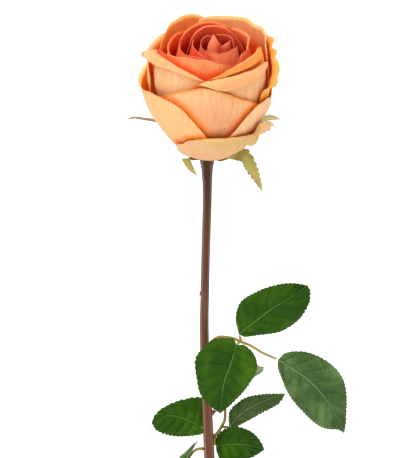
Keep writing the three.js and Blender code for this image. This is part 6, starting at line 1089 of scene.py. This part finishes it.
def sepal_material(name, look):
    m = Mat(name, Roughness=0.62, Specular_IOR_Level=0.12)
    t, j, inner = m.attr("lt"), m.attr("lj"), m.attr("inner")
    w, l = m.attr("mm_across"), m.attr("mm_along")
    z = look["seed"] * 3.1
    aj = m.math("ABSOLUTE", j)
    patch = m.noise(m.vec(m.math("MULTIPLY", w, 0.35), m.math("MULTIPLY", l, 0.12), z), 1.0, 4.0, 0.6, 0.4)
    fib = m.noise(m.vec(m.math("MULTIPLY", w, 1.6), m.math("MULTIPLY", l, 0.10), z + 4), 1.0, 2.0, 0.5, 0.5)
    base = m.ramp(m.math("ADD", m.math("MULTIPLY", t, 0.75), m.math("MULTIPLY", m.math("SUBTRACT", patch, 0.5), 0.7)), look["stops"])
    col = m.mix(m.math("MULTIPLY", m.range(fib, 0.5, 0.32), 0.30), base, lin((132, 120, 56)), "MIX")
    col = m.mix(m.math("MULTIPLY", m.range(m.math("ADD", aj, m.math("MULTIPLY", m.math("SUBTRACT", patch, 0.5), 0.5)), 0.72, 1.0), 0.6), col, lin((150, 112, 76)), "MIX")
    col = m.mix(m.math("MULTIPLY", m.range(m.math("ABSOLUTE", w), 0.4, 0.1), 0.2), col, lin((206, 200, 132)), "MIX")
    col = m.mix(m.math("MULTIPLY", inner, 0.35) if look.get("lite_in") else 0.0, col, lin((206, 206, 150)), "MIX")
    m.color(col)
    m.normal(m.bump(fib, 0.5, 0.0005))
    return m.m


def build_sepal(name, rows, bow, look):
    G, M, length = blade_grid(rows, bow, 17, look.get("tooth", 2.4), look.get("depth", 0.9), look["seed"])
    n = grid_normals(G)
    t, j = M[..., 0], M[..., 1]
    W = G + n * ((noise2(M[..., 3] / 5.0, j * 1.5 + 9, look["seed"]) - 0.5) * 0.8 * sm(np.minimum(t, 1 - t) / 0.15))[..., None]
    ob = shell("rose_" + name, W, 0.34, {"lt": t, "lj": j, "mm_across": M[..., 2], "mm_along": M[..., 3]},
               [sepal_material(name + "_mat", look)], 60)
    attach(ob, "root")
    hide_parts(name)
    return ob


DARK = dict(dark=(27, 56, 2), main=(38, 74, 3), lite=(60, 98, 10), mid_col=(104, 140, 52), vein_groove_shade_col=(20, 48, 14), vein=0.45)
# paler, greyer greens with more specular: partly the leaflets' own paler green, partly painted sheen standing in for
# the light these leaflets catch
PALE_GREEN_AND_SHEEN = dict(dark=(36, 64, 16), main=(50, 80, 26), lite=(88, 116, 62), mid_col=(120, 146, 90), vein_groove_shade_col=(38, 66, 30), spec=0.2, rough=0.36, vein=0.65)
LEAF_LOOKS = {
    "leaf_1_leaflet_upper": dict(DARK, flip=True, seed=41, veins=7, sweep=1.6, rough=0.5, tooth=2.0, depth=0.6),
    "leaf_1_leaflet_middle": dict(DARK, flip=True, seed=42, veins=7, sweep=1.7, rough=0.5, tooth=2.0, depth=0.6),
    "leaf_1_leaflet_right": dict(PALE_GREEN_AND_SHEEN, flip=True, seed=43, veins=8, sweep=1.6, tooth=2.1, depth=0.6, quilt=0.9),
    "leaf_2_leaflet_tip": dict(PALE_GREEN_AND_SHEEN, seed=44, veins=6, sweep=1.3),
    "leaf_2_leaflet_left": dict(DARK, flip=True, seed=45, veins=6, sweep=1.4, rough=0.5),
    "leaf_2_leaflet_right_upper": dict(PALE_GREEN_AND_SHEEN, flip=True, seed=46, veins=6, sweep=1.4, dark=(42, 66, 14), main=(58, 82, 26), lite=(84, 104, 48)),
    "leaf_2_leaflet_right_lower": dict(DARK, flip=True, seed=47, veins=5, sweep=1.3, rough=0.5),
    "leaf_3_leaflet_side": dict(PALE_GREEN_AND_SHEEN, flip=True, seed=48, veins=3, sweep=1.0, depth=0.3, tooth=1.4),
    "leaf_3_leaflet_tip": dict(PALE_GREEN_AND_SHEEN, flip=True, seed=49, veins=4, sweep=1.2, depth=0.5, tooth=1.8),
}
GREEN_TIP = [(0.0, (150, 150, 66)), (0.2, (182, 176, 92)), (0.5, (198, 186, 116)), (0.72, (188, 164, 108)), (0.9, (160, 118, 80)), (1.0, (112, 76, 54))]
SEPAL_LOOKS = {
    "sepal_front_left": dict(seed=51, tooth=2.2, depth=0.5, stops=[(0.0, (96, 92, 32)), (0.3, (146, 140, 58)), (0.6, (172, 160, 80)), (0.85, (156, 126, 72)), (1.0, (116, 82, 52))]),
    "sepal_front_right": dict(seed=52, tooth=3.4, depth=0.9, stops=[(0.0, (104, 100, 36)), (0.25, (150, 142, 60)), (0.5, (178, 166, 90)), (0.72, (176, 148, 92)), (0.9, (154, 112, 74)), (1.0, (104, 72, 48))]),
    "sepal_left": dict(seed=53, tooth=3.0, depth=0.2, stops=[(0.0, (140, 140, 60)), (0.3, (168, 140, 84)), (0.5, (140, 96, 70)), (1.0, (112, 76, 62))]),
    "sepal_right": dict(seed=54, tooth=3.0, depth=0.6, stops=[(0.0, (140, 140, 60)), (0.35, (184, 180, 104)), (0.7, (200, 198, 140)), (0.9, (184, 170, 118)), (1.0, (140, 108, 70))]),
    "sepal_back": dict(seed=55, tooth=2.4, depth=0.5, stops=GREEN_TIP),
}

for name, (rows, bow) in BLADES.items():
    if name.startswith("leaf"):
        build_leaf(name, rows, bow, LEAF_LOOKS[name])
    else:
        build_sepal(name, rows, bow, SEPAL_LOOKS[name])


# ------------------------------------------------------------------ stem, stalks, thorns
def tube_mesh(name, rows, sides, step, mats, shape=None, cap=True, start_along=0.0):
    """Swept tube through rows [x, y, z, r]; shape(k, l, r) changes the radius at angle k and length l."""
    rows = np.array(rows, float)
    seg = np.linalg.norm(np.diff(rows[:, :3], axis=0), axis=1)
    kn = np.concatenate([[0], np.cumsum(seg)])
    n = max(6, int(round(kn[-1] / step)))
    ls = np.linspace(0, kn[-1], n + 1)
    U = herm(rows, kn, ls)
    c = U[:, :3]
    al = np.empty_like(c)
    al[1:-1] = c[2:] - c[:-2]
    al[0], al[-1] = c[1] - c[0], c[-1] - c[-2]
    al /= np.linalg.norm(al, axis=1, keepdims=True)
    side = np.array([1.0, 0, 0]) if abs(al[0][0]) < 0.9 else np.array([0, 1.0, 0])
    V, ang, lm = [], [], []
    a = np.arange(sides) / sides * 2 * math.pi
    for i in range(n + 1):
        side = side - side.dot(al[i]) * al[i]
        side /= np.linalg.norm(side)
        other = np.cross(al[i], side)
        r = np.full(sides, U[i, 3])
        if shape is not None:
            r = shape(a, ls[i], r)
        V.append(c[i] + (r * np.cos(a))[:, None] * side + (r * np.sin(a))[:, None] * other)
        ang.append(a / (2 * math.pi))
        lm.append(np.full(sides, ls[i]))
    V = np.concatenate(V)
    faces = []
    for i in range(n):
        for k in range(sides):
            p, q = i * sides + k, i * sides + (k + 1) % sides
            faces.append([p, q, q + sides, p + sides])
    N = len(V)
    V = np.concatenate([V, c[:1], c[-1:]])
    for k in range(sides):
        faces.append([N, (k + 1) % sides, k])
        faces.append([N + 1, n * sides + k, n * sides + (k + 1) % sides])
    ca = np.concatenate([np.cos(np.concatenate(ang) * 2 * math.pi), [0, 0]])
    sa = np.concatenate([np.sin(np.concatenate(ang) * 2 * math.pi), [0, 0]])
    lm = np.concatenate([np.concatenate(lm), [0, ls[-1]]])
    uv = np.stack([np.concatenate([np.concatenate(ang), [0.5, 0.5]]), lm / max(ls[-1], 1)], 1)
    return make_mesh(name, V, faces, {"ca": ca, "sa": sa, "mm_along": lm}, uv, mats, 50)


def stem_material():
    m = Mat("stem_bark", Roughness=0.34, Specular_IOR_Level=0.18)
    ca, sa, l = m.attr("ca"), m.attr("sa"), m.attr("mm_along")
    streak = m.noise(m.vec(m.math("MULTIPLY", ca, 2.4), m.math("MULTIPLY", sa, 2.4), m.math("MULTIPLY", l, 0.018)), 1.0, 4.0, 0.6, 0.4)
    fleck = m.noise(m.vec(m.math("MULTIPLY", ca, 5.0), m.math("MULTIPLY", sa, 5.0), m.math("MULTIPLY", l, 0.35)), 1.0, 3.0, 0.6, 0.2)
    base = m.ramp(m.math("DIVIDE", l, 390.0), [(0.0, (74, 50, 24)), (0.03, (62, 38, 22)), (0.12, (88, 52, 34)), (0.3, (98, 56, 38)), (0.62, (98, 64, 38)), (0.78, (78, 56, 26)), (1.0, (72, 60, 24))])
    col = m.mix(m.math("MULTIPLY", m.range(streak, 0.48, 0.30), 0.55), base, lin((58, 34, 24)), "MIX")
    col = m.mix(m.math("MULTIPLY", m.range(streak, 0.52, 0.70), 0.5), col, lin((142, 110, 78)), "MIX")
    # painted highlights: two pale lines run down the flanks of the stem, where light catches its sides
    for at, wide, amount in ((-0.66, 0.16, 0.62), (0.72, 0.14, 0.5)):
        d = m.math("ABSOLUTE", m.math("SUBTRACT", ca, at))
        d = m.math("ADD", d, m.math("MULTIPLY", m.math("SUBTRACT", streak, 0.5), 0.14))
        col = m.mix(m.math("MULTIPLY", m.range(d, wide, 0.02), amount), col, lin((146, 122, 104)), "MIX")
    col = m.mix(m.math("MULTIPLY", m.range(fleck, 0.60, 0.72), 0.35), col, lin((66, 40, 28)), "MIX")
    m.color(col)
    n1 = m.bump(streak, 0.35, 0.0006)
    m.normal(m.bump(fleck, 0.2, 0.0002, n1))
    return m.m


def stalk_material(name, red_from=None):
    m = Mat(name, Roughness=0.5, Specular_IOR_Level=0.25)
    ca, sa, l = m.attr("ca"), m.attr("sa"), m.attr("mm_along")
    s = m.noise(m.vec(m.math("MULTIPLY", ca, 1.3), m.math("MULTIPLY", sa, 1.3), m.math("MULTIPLY", l, 0.08)), 1.0, 3.0, 0.6, 0.3)
    col = m.ramp(s, [(0.28, (96, 82, 24)), (0.5, (134, 120, 46)), (0.72, (164, 150, 84))])
    if red_from is not None:
        col = m.mix(m.math("MULTIPLY", m.range(l, red_from[0], red_from[1]), 0.85), col, lin((142, 62, 34)), "MIX")
    m.color(col)
    m.normal(m.bump(s, 0.4, 0.0004))
    return m.m


def thorn_material():
    m = Mat("thorn_red", Roughness=0.4, Specular_IOR_Level=0.45)
    n = m.noise(m.coord(), 900.0, 3.0, 0.6, 0.3)
    m.color(m.ramp(n, [(0.3, (84, 22, 26)), (0.55, (112, 36, 40)), (0.8, (136, 62, 52))]))
    m.normal(m.bump(n, 0.3, 0.0003))
    return m.m


def stem_shape(a, l, r):
    lobes = 1 + 0.022 * np.cos(3 * a + l * 0.004 + 0.6) + 0.012 * np.cos(5 * a - l * 0.006)
    rough = 1 + 0.030 * (noise2(a / (2 * math.pi) * 8 + 30, np.full_like(a, l / 26.0), 71) - 0.5)
    seam = 1 - 0.035 * np.exp(-((np.mod(a - 2.2, 2 * math.pi) - 0.0) / 0.10) ** 2)
    return r * lobes * rough * seam


stem = tube_mesh("rose_stem", STEM, 36, 2.0, [stem_material()], stem_shape)
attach(stem, "root")
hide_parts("stem")


def thorn(name, base, tip, width, seed):
    """Hooked thorn: a flattened base that narrows to a bent point."""
    base, tip = np.array(base, float), np.array(tip, float)
    L = np.linalg.norm(tip)
    d = tip / L
    down = np.array([0, 0, -1.0])
    down = down - down.dot(d) * d
    down /= np.linalg.norm(down)
    other = np.cross(d, down)
    V, faces, sides, rows = [], [], 16, 12
    for i in range(rows):
        s = i / rows
        r = width * (1 - s) ** 1.25
        for k in range(sides):
            a = 2 * math.pi * k / sides
            V.append(base + d * L * s + down * (r * 1.7 * math.cos(a) + 0.9 * s * s) + other * (r * 0.75 * math.sin(a)))
    for i in range(rows - 1):
        for k in range(sides):
            p, q = i * sides + k, i * sides + (k + 1) % sides
            faces.append([p, q, q + sides, p + sides])
    V.append(base + d * L + down * 0.9)
    V.append(base)
    for k in range(sides):
        faces.append([(rows - 1) * sides + k, (rows - 1) * sides + (k + 1) % sides, rows * sides])
        faces.append([(k + 1) % sides, k, rows * sides + 1])
    V = np.array(V)
    vol = sum(float(np.dot(V[f[0]] - base, np.cross(V[f[1]] - base, V[f[2]] - base))) for f in faces)
    if vol < 0:
        faces = [f[::-1] for f in faces]
    ob = make_mesh(name, V, faces, None, None, [THORN], 60)
    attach(ob, "root")
    return ob


THORN = thorn_material()
for k, (x, y, z, dx, dy, dz, r) in enumerate([(-10.9, -0.4, 302.4, -2.4, -0.5, -1.3, 1.1), (-5.2, -1.2, 226.0, 3.4, -0.8, 1.8, 1.4)]):
    thorn("rose_thorn_%d" % (k + 1), (x, y, z), (dx, dy, dz), r, 90 + k)

for k, (name, spec) in enumerate(STALKS.items()):
    mat = stalk_material(name + "_mat", spec.get("red"))
    main = tube_mesh("rose_" + name, spec["rows"], 16, 0.8, [mat])
    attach(main, "root")
    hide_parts(name)
    for b, rows in enumerate(spec.get("branches", [])):
        twig = tube_mesh("rose_%s_branch_%d" % (name, b + 1), rows, 12, 0.7, [mat])
        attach(twig, "root")


# ------------------------------------------------------------------ hidden core
def core_material():
    m = Mat("core_green", Roughness=0.7)
    n = m.noise(m.coord(), 320.0, 3.0, 0.6, 0.2)
    m.color(m.ramp(n, [(0.3, (116, 120, 54)), (0.7, (158, 160, 92))]))
    m.normal(m.bump(n, 0.3, 0.0004))
    return m.m


NODES["flower_core"].data.materials.clear()
NODES["flower_core"].data.materials.append(core_material())


# ------------------------------------------------------------------ vase
def vase_material():
    m = Mat("vase_glaze", Roughness=0.16, Specular_IOR_Level=0.5, Coat_Weight=0.35, Coat_Roughness=0.06)
    co = m.coord()
    cloud = m.noise(co, 22.0, 4.0, 0.6, 0.3)
    col = m.ramp(cloud, [(0.3, (196, 190, 178)), (0.55, (208, 203, 191)), (0.75, (217, 213, 203))])
    speck = m.noise(co, 620.0, 2.0, 0.5, 0.0)
    col = m.mix(m.math("MULTIPLY", m.range(speck, 0.70, 0.78), 0.45), col, lin((140, 124, 104)), "MIX")
    z = m.node("ShaderNodeSeparateXYZ")
    m.put(z.inputs[0], co)
    h = z.outputs[2]
    # bare clay ring at the foot, glaze thins to a warm line at the rim
    foot = m.range(m.math("ADD", h, m.math("MULTIPLY", m.math("SUBTRACT", cloud, 0.5), 0.0012)), 0.0024, 0.0018)
    col = m.mix(foot, col, lin((178, 154, 126)), "MIX")
    rim = m.range(h, 0.1785, 0.1799)
    col = m.mix(m.math("MULTIPLY", rim, 0.45), col, lin((176, 156, 128)), "MIX")
    m.color(col)
    m.link(m.math("MAXIMUM", m.math("MULTIPLY", foot, 0.75), m.range(cloud, 0.3, 0.8, 0.13, 0.21)), m.b.inputs["Roughness"])
    rings = m.node("ShaderNodeTexNoise")
    m.put(rings.inputs["Vector"], m.vec(0.0, 0.0, h))
    rings.inputs["Scale"].default_value = 420.0
    rings.inputs["Detail"].default_value = 2.0
    n1 = m.bump(rings.outputs["Fac"], 0.10, 0.0008)
    m.normal(m.bump(cloud, 0.12, 0.0015, n1))
    return m.m


def build_vase():
    P = np.array(VASE, float)
    seg = np.linalg.norm(np.diff(P, axis=0), axis=1)
    kn = np.concatenate([[0], np.cumsum(seg)])
    xs = [0.0]
    for i in range(len(seg)):
        n = max(2, int(math.ceil(seg[i] / 1.8)))
        xs += [kn[i] + seg[i] * (q + 1) / n for q in range(n)]
    prof = herm(P, kn, np.array(xs))
    prof[0, 0] = prof[-1, 0] = 0
    sides = 144
    a = np.arange(sides) / sides * 2 * math.pi
    V = [[0, 0, prof[0, 1]]]
    for r, z in prof[1:-1]:
        V += [[r * math.cos(t), r * math.sin(t), z] for t in a]
    V.append([0, 0, prof[-1, 1]])
    n = len(prof) - 2
    faces = []
    for k in range(sides):
        faces.append([0, 1 + (k + 1) % sides, 1 + k])
        faces.append([len(V) - 1, 1 + (n - 1) * sides + k, 1 + (n - 1) * sides + (k + 1) % sides])
    for i in range(n - 1):
        for k in range(sides):
            p, q = 1 + i * sides + k, 1 + i * sides + (k + 1) % sides
            faces.append([p, q, q + sides, p + sides])
    ob = make_mesh("bud_vase", V, faces, None, None, [vase_material()], 50)
    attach(ob, "root")
    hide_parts("vase")


build_vase()


# ------------------------------------------------------------------ floor, light, camera
def floor():
    me = bpy.data.meshes.new("floor")
    s = 30.0
    me.from_pydata([(-s, -s, 0), (s, -s, 0), (s, s, 0), (-s, s, 0)], [], [(0, 1, 2, 3)])
    ob = bpy.data.objects.new("floor", me)
    bpy.context.scene.collection.objects.link(ob)
    m = Mat("floor_pale", Roughness=0.9, Specular_IOR_Level=0.1)
    n = m.noise(m.coord(), 1.5, 2.0, 0.5, 0.0)
    m.color(m.ramp(n, [(0.2, (250, 250, 250)), (0.8, (253, 253, 253))]))
    me.materials.append(m.m)


floor()


def sun(name, direction, strength, spread, colour=(1, 1, 1)):
    l = bpy.data.lights.new(name, "SUN")
    l.energy, l.angle, l.color = strength, math.radians(spread), colour
    o = bpy.data.objects.new(name, l)
    bpy.context.scene.collection.objects.link(o)
    o.rotation_euler = Vector(direction).to_track_quat("-Z", "Y").to_euler()


def area(name, loc, target, size, energy, colour=(1, 1, 1)):
    l = bpy.data.lights.new(name, "AREA")
    l.shape = "RECTANGLE"
    l.size, l.size_y = size
    l.energy = energy
    l.color = colour
    o = bpy.data.objects.new(name, l)
    bpy.context.scene.collection.objects.link(o)
    o.location = loc
    o.rotation_euler = (Vector(target) - Vector(loc)).to_track_quat("-Z", "Y").to_euler()


world = bpy.data.worlds.new("studio")
bpy.context.scene.world = world
world.use_nodes = True
bg = world.node_tree.nodes["Background"]
bg.inputs[0].default_value = (1.0, 1.0, 1.0, 1.0)
bg.inputs[1].default_value = 0.78
sun("key", (0.45, 0.95, -1.35), 1.9, 60)
area("top", (-0.15, -0.35, 1.5), (0, 0, 0.45), (0.5, 0.5), 5.5)
bpy.context.scene.view_settings.view_transform = "Standard"

cam = bpy.data.cameras.new("camera")
cam_ob = bpy.data.objects.new("camera", cam)
bpy.context.scene.collection.objects.link(cam_ob)
bpy.context.scene.camera = cam_ob
ELEVATION = math.radians(15)
back = Vector((0, -math.cos(ELEVATION), math.sin(ELEVATION)))
cam_ob.location = Vector((-0.0074, 0, 0.342)) + back * 1.3
cam_ob.rotation_mode = "QUATERNION"
cam_ob.rotation_quaternion = back.to_track_quat("Z", "Y")
cam.sensor_width = 36
cam.lens = 36 * 1300 / (458 * 0.6)
cam.clip_start, cam.clip_end = 0.05, 100
